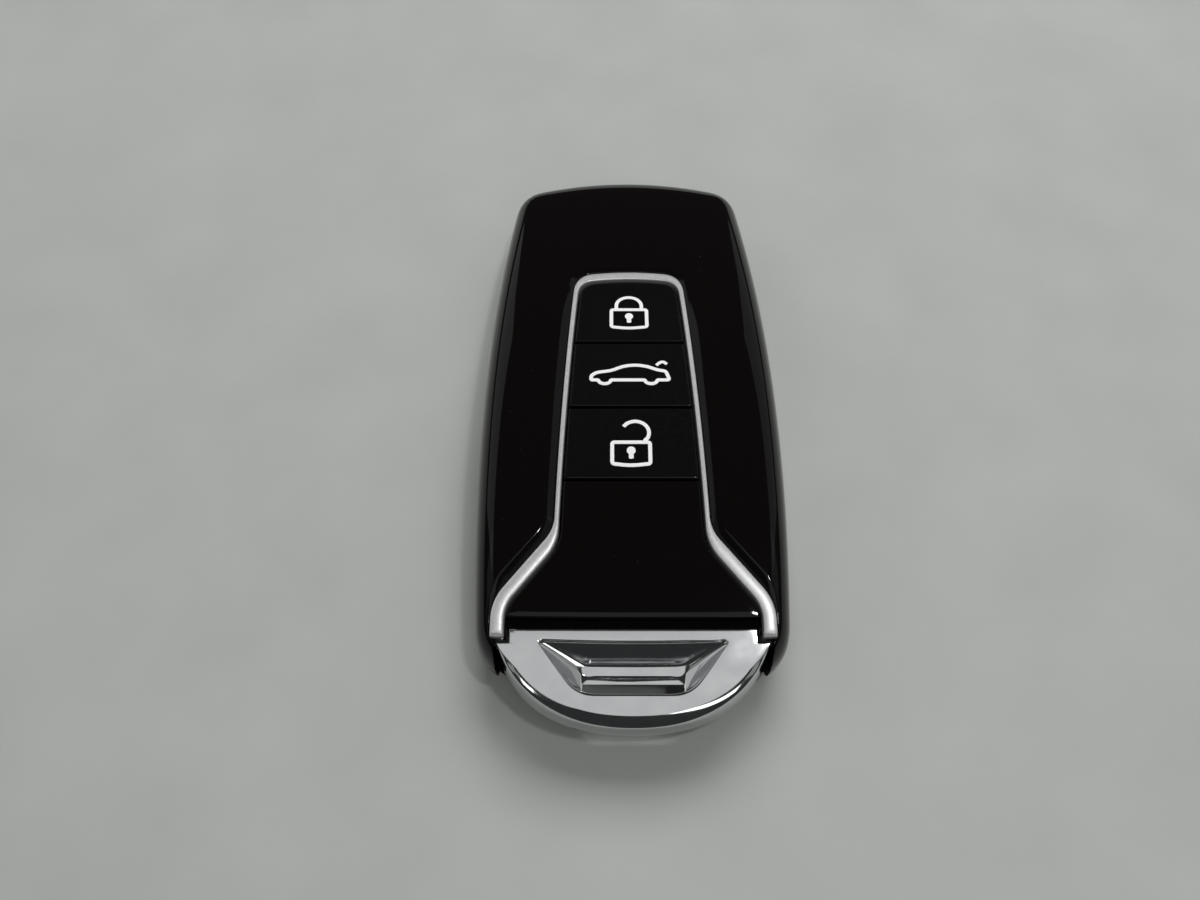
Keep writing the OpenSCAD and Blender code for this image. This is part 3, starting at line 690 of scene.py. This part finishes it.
LINE, LID_LINE = 0.48, 0.42
PAINT_FOOT, PAINT_EDGE, PAINT_TOP, DISC_TOP = -0.05, 0.012, 0.022, 0.02  # heights over the button
PAINT_ROUND = 0.12  # share of a line's width that is rounded
MOST_ROUND = 0.48  # share of a path's side that one rounded corner may take
LOCK_DIP, LOCK_DIP_R, LOCK_R = 0.14, 2.6, 0.32
HOOP_X = 1.7
SILL = -0.98
WHEELS, WHEEL_RX, WHEEL_RY, WHEEL_ROOM = (2.72, -3.3), 0.8, 0.58, 0.95


def unit(v):
    n = math.hypot(*v) or 1e-9
    return v[0] / n, v[1] / n


def stroke(build, path, width, closed=False):
    """Raised painted line along plan points, lying on the arch of the buttons."""
    n = len(path)
    columns = []
    for i, p in enumerate(path):
        a = path[i - 1] if closed or i else p
        b = path[(i + 1) % n] if closed or i < n - 1 else p
        here, on = unit((p[0] - a[0], p[1] - a[1])), unit((b[0] - p[0], b[1] - p[1]))
        t = unit((here[0] + on[0], here[1] + on[1]))
        along = on if any(on) else here
        h = width / 2 / max(0.5, t[0] * along[0] + t[1] * along[1])
        l, r = (p[0] - t[1] * h, p[1] + t[0] * h), (p[0] + t[1] * h, p[1] - t[0] * h)
        lz, rz = pad_z(l[1]), pad_z(r[1])
        columns.append([
            (*l, lz + PAINT_FOOT), (*l, lz + PAINT_EDGE), (*lerp(l, r, PAINT_ROUND), lz + PAINT_TOP),
            (*lerp(l, r, 1 - PAINT_ROUND), rz + PAINT_TOP), (*r, rz + PAINT_EDGE), (*r, rz + PAINT_FOOT),
        ])
    build.strips(columns + columns[:1] if closed else columns, closed=True, ends=not closed)


def rounded(points, r, n=5):
    """Closed path with rounded corners. A third number gives a corner its own radius."""
    out = []
    m = len(points)
    for i, point in enumerate(points):
        a, c, b = points[i - 1][:2], point[:2], points[(i + 1) % m][:2]
        own = point[2] if len(point) > 2 else r
        start = toward(c, a, min(own, math.dist(a, c) * MOST_ROUND))
        end = toward(c, b, min(own, math.dist(b, c) * MOST_ROUND))
        out += corner(start, c, end, n)
    return out


def keyhole(build, y):
    """Filled keyhole: a disc over a short flared foot."""
    disc = arc(0, y + 0.34, 0.55, 0.55, -58, 238, 28)
    loop = disc + [(-0.3, y - 0.7), (0, y - 0.82), (0.3, y - 0.7)]
    m = len(loop)
    low, top = ([(px, py, pad_z(py) + z) for px, py in loop] for z in (PAINT_FOOT, DISC_TOP))
    sides = [[k, (k + 1) % m, m + (k + 1) % m, m + k] for k in range(m)]
    build.add(low + top, [[m + k for k in range(m)]] + sides)


def at_row(i, path):
    """Path moved from the middle of a button to its row."""
    return [(p[0], p[1] + row_y(i), *p[2:]) for p in path]


def lock_body(build, i, low, high, w):
    """Padlock's body with its keyhole, between two heights of row i, w its half width."""
    h = LINE / 2
    x, top, foot = w - h, high - h, low + h
    base = [
        (-x, top), (-x, foot + LOCK_DIP), (0, foot - LOCK_DIP, LOCK_DIP_R), (x, foot + LOCK_DIP), (x, top),
    ]
    stroke(build, rounded(at_row(i, base), LOCK_R), LINE, closed=True)
    keyhole(build, row_y(i) + (low + high) / 2 + 0.05)


def lock_symbol():
    b = Build()
    lock_body(b, LOCK_ROW, -2.82, 0.82, 2.62)
    hoop = arc(0, 1.27, HOOP_X, 1.53, 180, 0, 24)
    hoop = [(-HOOP_X, 0.62), (-HOOP_X, 1.17)] + hoop + [(HOOP_X, 1.17), (HOOP_X, 0.62)]
    stroke(b, at_row(LOCK_ROW, hoop), LINE)
    return b


def unlock_symbol():
    b = Build()
    lock_body(b, UNLOCK_ROW, -3.32, 0.25, 2.6)
    hoop = [(HOOP_X, 0.02), (1.78, 0.32)] + arc(0.55, 1.35, 1.72, 1.62, -28, 148, 28)
    stroke(b, at_row(UNLOCK_ROW, hoop), LINE)
    return b


def boot_symbol():
    """Car from the side with its boot lid up."""
    b = Build()
    car = [
        (-5.02, 0.0, 0.2), (-5.06, 0.66, 0.35), (-4.35, 1.18, 0.5), (-2.4, 1.46, 0.6),
        (-0.95, 2.14, 0.8), (0.7, 2.38, 0.8), (2.3, 2.12, 0.8), (3.4, 1.62, 0.5),
        (4.66, 1.36, 0.3), (5.06, 0.2, 0.2), (4.92, 0.0, 0.12), (3.66, 0.0, 0.12),
    ]
    corner_points = 5
    path = rounded(car, 0.3, corner_points)[:-corner_points - 1]  # the last corner only aims the sill
    for x in WHEELS:
        wheel = arc(x, 0.0, WHEEL_RX, WHEEL_RY, -8, -172, 14)
        path += [(x + WHEEL_ROOM, 0.0)] + wheel + [(x - WHEEL_ROOM, 0.0)]
    stroke(b, at_row(BOOT_ROW, [(x, y + SILL) for x, y in path]), LINE, closed=True)
    lid = [(3.45, 2.3), (3.78, 2.62), (4.1, 2.82), (4.4, 2.82), (4.64, 2.66), (4.84, 2.48)]
    stroke(b, at_row(BOOT_ROW, [(x, y + SILL) for x, y in lid]), LID_LINE)
    return b


def symbols():
    drawings = {"lock": lock_symbol(), "unlock": unlock_symbol(), "boot": boot_symbol()}
    return [piece("symbol_" + key, b, key + "_key", "button_black", angle=60) for key, b in drawings.items()]


# Key head

BACKS, NOTCH, DIAG, TURN, FRONT = 12, 4, 26, 14, 12  # steps along its outlines
SIDE_AT = BACKS + 2 * NOTCH  # step at which the sides start
SIDE_EASE, FRONT_AT = 6, 0.45  # steps from back to side, and where along the side the front starts
HEAD_EDGES = 48  # angle of its sharp edges
HEAD_BACK_X, NOTCH_GAP, RIM_SET = 14.35, 0.55, 0.1
RIM_DRAW, BASE_DRAW, BASE_BACK = 3.65, 2.65, BACK_Y - 1.7  # pull of the front curves, widest place
WINDOW_X, WINDOW_FOOT_X, WINDOW_BOW = 11.1, 6.35, 0.2
WINDOW_BACK, WINDOW_NEAR = BACK_Y - 1.3, TIP_Y + 3.7
WINDOW_R, WINDOW_R_GAIN, WINDOW_FOOT_R = 0.9, 0.6, 2.1
LIP = ((0.0, 0.3), (0.03, 0.16), (0.1, 0.05), (0.22, 0.005))  # window's edge: growth and drop
TOP_FROM, TOP_ROWS = 0.36, 6  # flat top, from this growth of the window
POCKET_X, POCKET_BACK, POCKET_NEAR = 5.3, BACK_Y - 3.9, TIP_Y + 3.6
POCKET_GAP, POCKET_R, POCKET_FOOT_R = 0.05, 0.75, 0.3
POCKET_SLOPE, POCKET_IN, POCKET_ROWS = 0.3, -0.7, 16
ROLL_START = (0.15, 1.7, 1.2)  # roll of the outer edge at back, sides and front: width and drop
ROLL_DROP = (0.15, 0.5, 0.75)
ROLL_ROWS, ROLL_GAIN = 10, 0.74
STEP_Z, STEP_LOW = 8.3, 5.9  # step at the back
SIDE_Z, SIDE_POWER = 5.2, 0.9  # lower end and form of the side's wall
BACK_STEPS = ((0.25, 0, STEP_Z), (0.5, 1, STEP_Z), (0.75, 1, STEP_LOW))
HEAD_FOOT = ((0.02, 2.4), (0.12, 1.7), (0.3, 1.05), (0.55, 0.45), (0.8, 0.12), (1.1, 0.0))  # inset, height


def head_half(back, elbow, side, front_y, draw):
    """Right half of an outline: back edge, two straight stretches to the side, one curve to the front."""
    curve = corner(side, (side[0] - draw, front_y), (0.0, front_y), 60)
    return (
        straight((0.0, back[1]), back, BACKS)
        + straight(back, elbow, NOTCH)
        + straight(elbow, side, NOTCH)
        + even(curve, DIAG + TURN + FRONT)
    )


def rim_half(d):
    """Right half of the key head's top edge drawn in by d, with the notch for the trim's leg."""
    x, notch_y, h = HEAD_BACK_X - d, LEG_END - NOTCH_GAP - d, HEAD_W / 2 - RIM_SET - d
    return head_half((x, BACK_Y - d), (x, notch_y), (h, notch_y), TIP_Y + RIM_SET + d, RIM_DRAW)


def base_half(d):
    """Right half of the key head's widest outline drawn in by d."""
    y, h = BACK_Y - d, HEAD_W / 2 - d
    return head_half((HEAD_BACK_X, y), (h, y), (h, BASE_BACK), TIP_Y + d, BASE_DRAW)


def four_sides(far, near, far_r, near_r, bow=0.0):
    """Right half of a shape with a far and a near edge, rounded corners and a bowed far edge."""
    head = corner((far[0] - far_r, far[1]), far, toward(far, near, far_r), 2 * NOTCH)
    foot = corner(toward(near, far, near_r), near, (near[0] - near_r, near[1]), TURN)
    back = [(head[0][0] * i / BACKS, far[1] - bow * (1 - (i / BACKS) ** 2)) for i in range(BACKS)]
    out = back + head[:-1] + straight(head[-1], foot[0], DIAG) + foot[:-1]
    return out + [(foot[-1][0] * (1 - i / FRONT), near[1]) for i in range(FRONT + 1)]


def window_half(d):
    """Right half of the window's outline grown by d."""
    far, near = (WINDOW_X + d, WINDOW_BACK + d), (WINDOW_FOOT_X + d, WINDOW_NEAR - d)
    return four_sides(far, near, WINDOW_R + WINDOW_R_GAIN * d, WINDOW_FOOT_R, bow=WINDOW_BOW)


def pocket_half(d):
    """Right half of the pocket's floor grown by d."""
    far, near = (POCKET_X + d, POCKET_BACK + d), (SLOT_W / 2 - POCKET_GAP + d, POCKET_NEAR)
    return four_sides(far, near, POCKET_R + d, POCKET_FOOT_R)


def pocket_wall(s):
    """Height share of the pocket's wall from its lip at 0 to its foot at 1, straight and then hollowed."""
    bend, steep, level = 0.78, 1.093, 0.25
    fill = max(0.0, s - bend) ** 2 * (steep - level) / (2 * (1 - bend))
    return 1 - steep * s + fill


def pocket_floor(y):
    """Floor of the pocket, which falls a little towards the slot."""
    return POCKET_Z + HAIR + POCKET_SLOPE * max(0.0, y - SLOT_BACK - LEDGE)


def head_top(y):
    return arch(y) - HEAD_SINK


def side_share(i):
    """0 along the back, 1 along the sides and the front."""
    return eased((i - SIDE_AT) / SIDE_EASE)


def front_share(i):
    """0 along the back and the sides, 1 along the front."""
    return eased((i - SIDE_AT - DIAG * FRONT_AT) / (DIAG * (1 - FRONT_AT) + TURN))


def mixed(i, back, side, front):
    """Value that changes from the back edge to the sides and on to the front."""
    return back + (side - back) * side_share(i) + (front - side) * front_share(i)


def pocket_rows():
    """Floor and walls of the pocket, up to the window's lip."""
    rows = [[(x, y, pocket_floor(y)) for x, y in pocket_half(POCKET_IN)]]
    for k in range(POCKET_ROWS, 0, -1):
        t = k / POCKET_ROWS
        row = []
        for lip, foot in zip(window_half(0.0), pocket_half(0.0)):
            low = pocket_floor(foot[1])
            row.append((*lerp(lip, foot, t), low + pocket_wall(t) * (head_top(lip[1]) - LIP[0][1] - low)))
        rows.append(row)
    return rows


def top_rows():
    """Rounded lip of the window, flat top and the roll to the outer edge."""
    rows = [[(x, y, head_top(y) - drop) for x, y in window_half(d)] for d, drop in LIP]
    edge = []
    for i, (back, side, front) in enumerate(zip(*map(rim_half, ROLL_START))):
        edge.append(lerp(lerp(back, side, side_share(i)), front, front_share(i)))
    for k in range(TOP_ROWS + 1):
        row = [lerp(a, b, k / TOP_ROWS) for a, b in zip(window_half(TOP_FROM), edge)]
        rows.append([(x, y, head_top(y)) for x, y in row])
    for k in range(1, ROLL_ROWS + 1):
        a = math.pi / 2 * k / ROLL_ROWS
        row = []
        for i, (p, q) in enumerate(zip(edge, rim_half(0.0))):
            power = 1 + ROLL_GAIN * front_share(i)  # round at the sides, near a chamfer at the front
            x, y = lerp(p, q, math.sin(a) ** power)
            drop = mixed(i, *ROLL_DROP) * (1 - max(0.0, math.cos(a)) ** power)
            row.append((x, y, head_top(y) - drop))
        rows.append(row)
    return rows


def side_rows(rim):
    """Step at the back, the side's wall and the rounded foot, all below the rim."""
    base = base_half(0.0)
    rows = []
    for t, out, back_z in BACK_STEPS:
        row = []
        for i, (p, q) in enumerate(zip(rim, base)):
            if i <= SIDE_AT:
                row.append((*lerp(p[:2], q, out), back_z))
            else:
                share = math.sin(t * math.pi / 2) ** SIDE_POWER
                row.append((*lerp(p[:2], q, share), p[2] + (SIDE_Z - p[2]) * t))
        rows.append(row)
    rows.append(flat(base, SIDE_Z))
    return rows + [flat(base_half(d), HEAD_Z + up) for d, up in HEAD_FOOT]


def ring_slot():
    """Through slot for the key ring under the front bar."""
    w, r, edge = SLOT_W / 2, 1.4, 0.05
    side = corner((w, SLOT_Y + r), (w, SLOT_Y), (w - 2 * r, SLOT_Y), 8)
    half = [(0.0, SLOT_BACK), (w - edge, SLOT_BACK), (w, SLOT_BACK - edge)] + side + [(0.0, SLOT_Y)]
    return solid([flat(mirrored(half), z) for z in (-1.0, BAR_Z)])


def ring_passage():
    """Way from the slot up to the pocket, with a ledge and a short step at its back."""
    inner, outer, near = SLOT_W / 2 - 0.12, SLOT_W / 2 - 0.06, TIP_Y + 3.75
    levels = (
        (BAR_Z - 0.2, 0.0), (BAR_Z + 0.1, 0.0), (BAR_Z + 0.22, 0.55),
        (POCKET_Z + HAIR, 1.0), (POCKET_Z + 0.4, 1.0),
    )
    rings = []
    for z, t in levels:
        back = SLOT_BACK - HAIR / 2 + LEDGE * t
        half = [(0.0, back), (inner - LEDGE * t, back), (outer, SLOT_BACK - 0.1), (outer, near), (0.0, near)]
        rings.append(flat(mirrored(half), z))
    return solid(rings)


def key_head():
    rows = pocket_rows() + top_rows()
    rows += side_rows(rows[-1])
    b = solid([mirrored(row) for row in rows])
    obj = piece("key_head_bright", b, "emergency_key", "chrome", ["key_head"], angle=HEAD_EDGES)
    cut(obj, ring_slot())
    cut(obj, ring_passage(), HEAD_EDGES)
    return obj


# Rear cover

COVER_EDGES = 25  # angle of its sharp edges
COVER_ROWS, ROOM_ROWS = 16, 8
BASE_FLAT = 0.4  # level strip round the underside
OUT_Y, OUT_Z = -60.0, 30.0  # well outside the body
HOLE_FLARE = ((1.09, -0.3), (1.09, -0.01), (1.0, 0.22), (1.0, 3.0))  # release hole: scale and height


def ring(d):
    """Closed outline of the body drawn in by d."""
    y0 = FLANK_Y + d
    r0, r1 = max(FLANK_CORNER - d, LEAST_CORNER), max(END_CORNER - d, LEAST_CORNER)
    x1 = side_x(far_y(END_X, d), d)
    c0, c1 = (side_x(y0, d), y0), (x1, far_y(x1, d))
    ya, yb, xa, xb = y0 + r0, c1[1] - r1, c0[0] - r0, x1 - r1
    half = straight((0.0, y0), (xa, y0), 10)
    half += corner((xa, y0), c0, (side_x(ya, d), ya), 16)[:-1]
    half += [(side_x(y, d), y) for y in steps(ya, yb, 50)[:-1]]
    half += corner((side_x(yb, d), yb), c1, (xb, far_y(xb, d)), 16)[:-1]
    half += [(x, far_y(x, d)) for x in (xb * (1 - i / 14) for i in range(15))]
    return mirrored(half)


def cover_skin():
    """Outside of the cover, from the seam round to the underside."""
    loops = [flat(ring(d), SEAM_Z - down) for d, down in SEAM_EDGE[:2]]
    for k in range(1, COVER_ROWS + 1):
        a = math.pi / 2 * k / COVER_ROWS
        loops.append(flat(ring(BASE_ROUND * (1 - math.cos(a))), SEAM_Z - math.sin(a) * SEAM_Z))
    loops.append(flat(ring(BASE_ROUND + BASE_FLAT), 0.0))
    return solid(loops)


def cover_room():
    """Room inside the cover, from the back of the key head to the far end."""
    levels = [(WALL, WALL + BASE_ROUND)]
    for k in range(ROOM_ROWS - 1, -1, -1):
        a = math.pi / 2 * k / ROOM_ROWS
        levels.append((SEAM_Z - math.sin(a) * (SEAM_Z - WALL), WALL + BASE_ROUND * (1 - math.cos(a))))
    levels.append((SEAM_Z + 2, WALL))
    return solid([[(x, max(y, BACK_Y), z) for x, y in ring(d)] for z, d in levels])


def head_bay():
    """Bay for the key head, open at the near end and above."""
    b = Build()
    b.block(-BAY_X, BAY_X, OUT_Y, BACK_Y + FIT, HEAD_Z - RUN, OUT_Z, r=0.05)
    return b


def release_hole():
    """Hole for the release button, flared at the underside."""
    w, l, r = RELEASE_W / 2 + RUN, RELEASE_LEN / 2 + RUN, RELEASE_CORNER
    quarter = corner((w - r, l), (w, l), (w, l - r), 10)
    half = [(0.0, l)] + quarter + [(x, -y) for x, y in reversed(quarter)] + [(0.0, -l)]
    return solid([[(x * s, RELEASE_Y + y * s, z) for x, y in mirrored(half)] for s, z in HOLE_FLARE])


def rear_cover():
    obj = piece("cover_rear", cover_skin(), "cover", "cover_black", ["rear_cover"], angle=COVER_EDGES)
    cut(obj, cover_room())
    cut(obj, head_bay())
    cut(obj, release_hole(), COVER_EDGES)
    return obj


# Release springs

SPRING_D, SPRING_WIRE, SPRING_TURNS = 2.6, 0.3, 3.5
SPRING_STEPS, WIRE_STEPS = 24, 8  # steps to the turn and round the wire


def coil(build, cx, cy, foot, rise):
    """One coil of round wire, foot and rise measured on the wire's middle."""
    r, w, n = (SPRING_D - SPRING_WIRE) / 2, SPRING_WIRE / 2, round(SPRING_TURNS * SPRING_STEPS)
    rings = []
    for i in range(n + 1):
        a, z = 2 * math.pi * i / SPRING_STEPS, foot + rise * i / n
        wire = []
        for k in range(WIRE_STEPS):
            t = 2 * math.pi * k / WIRE_STEPS
            out = r + w * math.cos(t)
            wire.append((cx + out * math.cos(a), cy + out * math.sin(a), z + w * math.sin(t)))
        rings.append(wire)
    build.strips(rings, closed=True, ends=True)


def release_springs():
    """Two coils on the carrier, as tall as the release springs' box in the model; the real ones shorten by
    the release button's travel.
    """
    low, high = (Vector(p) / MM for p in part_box("release_springs"))
    x, y = high.x - SPRING_D / 2, (low.y + high.y) / 2
    b = Build()
    for cx in (x, -x):
        coil(b, cx, y, low.z + SPRING_WIRE / 2, high.z - low.z - SPRING_WIRE)
    obj = piece("springs_release", b, "fob_body", "blade_steel", ["release_springs"], angle=50)
    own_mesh(obj)
    return obj


# Materials

FINE_GRAIN, COARSE_GRAIN = 0.00001, 0.00002  # depth of a bump in metres


def material(name, metallic=0.0, specular=0.5):
    mat = bpy.data.materials.new(name)
    mat.use_nodes = True
    bsdf = mat.node_tree.nodes["Principled BSDF"]
    bsdf.inputs["Metallic"].default_value = metallic
    bsdf.inputs["Specular IOR Level"].default_value = specular
    return mat, mat.node_tree, bsdf


def noise(tree, scale, detail=4.0, stretch=None):
    """Noise over the object's own coordinates, scale in waves to the metre."""
    coord = tree.nodes.new("ShaderNodeTexCoord")
    tex = tree.nodes.new("ShaderNodeTexNoise")
    tex.inputs["Scale"].default_value = scale
    tex.inputs["Detail"].default_value = detail
    out = coord.outputs["Object"]
    if stretch:
        mapping = tree.nodes.new("ShaderNodeMapping")
        mapping.inputs["Scale"].default_value = stretch
        tree.links.new(out, mapping.inputs["Vector"])
        out = mapping.outputs["Vector"]
    tree.links.new(out, tex.inputs["Vector"])
    return tex.outputs["Fac"]


def ramp(tree, source, stops):
    """Colour from a value, stops as (position, colour)."""
    node = tree.nodes.new("ShaderNodeValToRGB")
    el = node.color_ramp.elements
    el[0].position, el[0].color = stops[0][0], (*stops[0][1], 1)
    el[1].position, el[1].color = stops[-1][0], (*stops[-1][1], 1)
    for pos, col in stops[1:-1]:
        el.new(pos).color = (*col, 1)
    tree.links.new(source, node.inputs["Fac"])
    return node.outputs["Color"]


def spread(tree, source, low, high):
    """Value between low and high over the middle range of a noise."""
    node = tree.nodes.new("ShaderNodeMapRange")
    node.inputs["From Min"].default_value = 0.3
    node.inputs["From Max"].default_value = 0.7
    node.inputs["To Min"].default_value = low
    node.inputs["To Max"].default_value = high
    tree.links.new(source, node.inputs["Value"])
    return node.outputs["Result"]


def bump(tree, bsdf, source, depth, strength=0.3):
    node = tree.nodes.new("ShaderNodeBump")
    node.inputs["Strength"].default_value = strength
    node.inputs["Distance"].default_value = depth
    tree.links.new(source, node.inputs["Height"])
    tree.links.new(node.outputs["Normal"], bsdf.inputs["Normal"])


def plain(name, low, high, rough, grain, metallic=0.0, specular=0.5, depth=0.0, stretch=None):
    """Finish with a fine drift of colour and roughness, and a bump where a depth is given."""
    mat, tree, bsdf = material(name, metallic, specular)
    n = noise(tree, grain, stretch=stretch)
    tree.links.new(ramp(tree, n, [(0.3, low), (0.7, high)]), bsdf.inputs["Base Color"])
    tree.links.new(spread(tree, n, *rough), bsdf.inputs["Roughness"])
    if depth:
        bump(tree, bsdf, n, depth)
    return mat


def gloss_black():
    """Polished black plastic with faint haze and a few specks of dust."""
    mat, tree, bsdf = material("gloss_black", specular=0.3)
    haze = noise(tree, 60.0, 3.0)
    specks = noise(tree, 2600.0, 1.0)
    dark, pale, dust = (0.0026, 0.0021, 0.002), (0.0034, 0.0027, 0.0025), (0.05, 0.05, 0.05)
    tree.links.new(ramp(tree, specks, [(0.0, dark), (0.8, pale), (0.86, dust)]), bsdf.inputs["Base Color"])
    tree.links.new(spread(tree, haze, 0.03, 0.08), bsdf.inputs["Roughness"])
    bump(tree, bsdf, noise(tree, 900.0, 2.0), 0.000002, 0.15)
    return mat


MATERIALS = {
    "shell_black": gloss_black(),
    "cover_black": plain(
        "cover_black", (0.005, 0.005, 0.0052), (0.008, 0.008, 0.0083), (0.3, 0.4), 5200.0,
        specular=0.25, depth=FINE_GRAIN,
    ),
    "button_black": plain(
        "button_black", (0.003, 0.003, 0.0032), (0.0042, 0.0042, 0.0045), (0.13, 0.18), 3000.0,
        specular=0.3,
    ),
    "chrome": plain("chrome", (0.70, 0.71, 0.72), (0.77, 0.78, 0.785), (0.07, 0.11), 420.0, metallic=1.0),
    "inner_black": plain(
        "inner_black", (0.012, 0.012, 0.013), (0.024, 0.024, 0.026), (0.45, 0.6), 1800.0,
        depth=FINE_GRAIN,
    ),
    "board": plain("board", (0.006, 0.06, 0.028), (0.012, 0.10, 0.05), (0.3, 0.42), 500.0),
    "cell_steel": plain(
        "cell_steel", (0.55, 0.55, 0.54), (0.66, 0.66, 0.65), (0.24, 0.36), 300.0,
        metallic=1.0, stretch=(1, 12, 1),
    ),
    "contact_metal": plain(
        "contact_metal", (0.66, 0.52, 0.28), (0.74, 0.6, 0.34), (0.26, 0.4), 900.0,
        metallic=1.0,
    ),
    "ferrite": plain(
        "ferrite", (0.03, 0.029, 0.028), (0.06, 0.058, 0.056), (0.55, 0.7), 2600.0,
        depth=COARSE_GRAIN,
    ),
    "copper_wire": plain(
        "copper_wire", (0.45, 0.16, 0.06), (0.62, 0.27, 0.11), (0.25, 0.4), 5000.0,
        metallic=1.0, stretch=(1, 1, 60),
    ),
    "blade_steel": plain(
        "blade_steel", (0.5, 0.5, 0.5), (0.62, 0.62, 0.61), (0.2, 0.34), 700.0,
        metallic=1.0, stretch=(14, 1, 1),
    ),
}
OWN_MATERIALS = {
    "trim_bright": plain(
        "satin_bright", (0.74, 0.745, 0.74), (0.80, 0.805, 0.80), (0.34, 0.42), 2400.0,
        metallic=0.6, depth=FINE_GRAIN,
    ),
    # The bulkhead's darker, duller black is painted shade for the gap between the panel and the key head.
    "shell_bulkhead": plain(
        "painted_shade_black", (0.0016, 0.0016, 0.0016), (0.0024, 0.0024, 0.0024), (0.6, 0.8), 1800.0,
        specular=0.04,
    ),
}
WHITE = plain("symbol_white", (0.84, 0.84, 0.83), (0.90, 0.90, 0.89), (0.42, 0.55), 2500.0)


def dress(obj, mat):
    obj.data.materials.clear()
    obj.data.materials.append(mat)


# Pieces drawn here, and the CAD solids that stay

drawn = [
    upper_shell(), bulkhead(), trim_frame(), front_panel(), rear_cover(), key_head(), release_springs(),
    *(push_button(key, i) for key, i in KEY_ROWS.items()),
]
for obj in drawn:
    dress(obj, OWN_MATERIALS.get(obj.name, MATERIALS[obj["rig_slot"]]))
for obj in symbols():
    dress(obj, WHITE)

NODE_SLOTS = {
    "key_blade": "blade_steel", "blade_pin": "blade_steel", "release_button": "button_black",
    "board_carrier": "inner_black", "circuit_board": "board", "crystal": "cell_steel",
    "coin_cell": "cell_steel", "contact_plus": "contact_metal", "contact_minus": "contact_metal",
    "antenna_core": "ferrite", "antenna_winding": "copper_wire",
    "control_chip": "inner_black", "radio_chip": "inner_black",
}
for key in KEY_ROWS:
    NODE_SLOTS[key + "_switch"] = "inner_black"
    NODE_SLOTS[key + "_plunger"] = "contact_metal"
NODE_EDGE, NODE_EDGE_ANGLE = 0.08, 40
for name, slot in NODE_SLOTS.items():
    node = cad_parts[name]
    dress(node, MATERIALS[slot])
    edge = node.modifiers.new("edges", "BEVEL")
    edge.width, edge.segments, edge.limit_method = NODE_EDGE * MM, 2, "ANGLE"
    edge.angle_limit = math.radians(NODE_EDGE_ANGLE)


# Floor, light and camera, in metres and degrees, the lens in millimetres

FLOOR_HALF = 3.0
WORLD_COLOUR, WORLD_LEVEL = (0.95, 0.98, 1.0, 1), 0.03
LENS, SENSOR = 27.9, 36.0
EYE = (-0.0034, -0.06295, 0.1155)
PITCH_DOWN, YAW, ROLL = 62.1, -0.5, -0.43


def floor():
    s = FLOOR_HALF
    mesh = bpy.data.meshes.new("floor")
    mesh.from_pydata([(-s, -s, 0), (s, -s, 0), (s, s, 0), (-s, s, 0)], [], [[0, 1, 2, 3]])
    obj = placed("floor", mesh)
    pale = plain("floor_pale", (0.40, 0.415, 0.395), (0.43, 0.445, 0.425), (0.5, 0.6), 60.0, specular=0.3)
    dress(obj, pale)


def softbox(name, at, size, radiance, aim=(0, 0, 0), mirrored_in_gloss=True):
    """Rectangular light, its level given as radiance."""
    light = bpy.data.lights.new(name, "AREA")
    light.shape, light.size, light.size_y = "RECTANGLE", *size
    light.energy = radiance * math.pi * size[0] * size[1]
    obj = placed(name, light)
    obj.location = at
    obj.rotation_mode = "QUATERNION"
    obj.rotation_quaternion = (Vector(aim) - Vector(at)).to_track_quat("-Z", "Y")
    obj.visible_glossy = mirrored_in_gloss


def studio():
    """Soft boxes for the reflections, and a small lamp and a fill for the shading."""
    world = bpy.data.worlds.new("studio")
    bpy.context.scene.world = world
    world.use_nodes = True
    background = world.node_tree.nodes["Background"]
    background.inputs["Color"].default_value = WORLD_COLOUR
    background.inputs["Strength"].default_value = WORLD_LEVEL
    softbox("ceiling", (0.0, -0.36, 0.75), (0.44, 0.64), 0.55, aim=(0.0, -0.36, 0.0))
    softbox("back_right", (0.6, 0.5, 0.45), (0.8, 0.7), 0.3)
    softbox("back_left", (-0.6, 0.5, 0.45), (0.8, 0.7), 0.45)
    softbox("side_right", (0.62, -0.15, 0.48), (0.6, 0.5), 0.22)
    softbox("side_left", (-0.62, -0.15, 0.48), (0.6, 0.5), 0.22)
    softbox("near_right", (0.25, -0.52, 0.5), (0.3, 0.2), 2.2)
    softbox("near_left", (-0.36, -0.45, 0.5), (0.1, 0.2), 2.6)
    softbox("lamp", (0.18, -0.045, 0.62), (0.045, 0.045), 95.0)
    softbox("fill", (0.1, 0.5, 0.62), (0.5, 0.4), 8.2, mirrored_in_gloss=False)


def camera():
    cam = bpy.data.cameras.new("camera")
    cam.lens, cam.sensor_width, cam.sensor_fit = LENS, SENSOR, "HORIZONTAL"
    cam.clip_start, cam.clip_end = 0.005, 20.0
    pitch, yaw, roll = (math.radians(a) for a in (PITCH_DOWN, YAW, ROLL))
    ahead = Vector((math.sin(yaw) * math.cos(pitch), math.cos(yaw) * math.cos(pitch), -math.sin(pitch)))
    obj = placed("camera", cam)
    obj.location = EYE
    obj.rotation_mode = "QUATERNION"
    obj.rotation_quaternion = ahead.to_track_quat("-Z", "Y") @ Quaternion((0, 0, 1), roll)
    bpy.context.scene.camera = obj


floor()
studio()
camera()
bpy.context.scene.view_settings.view_transform = "Standard"
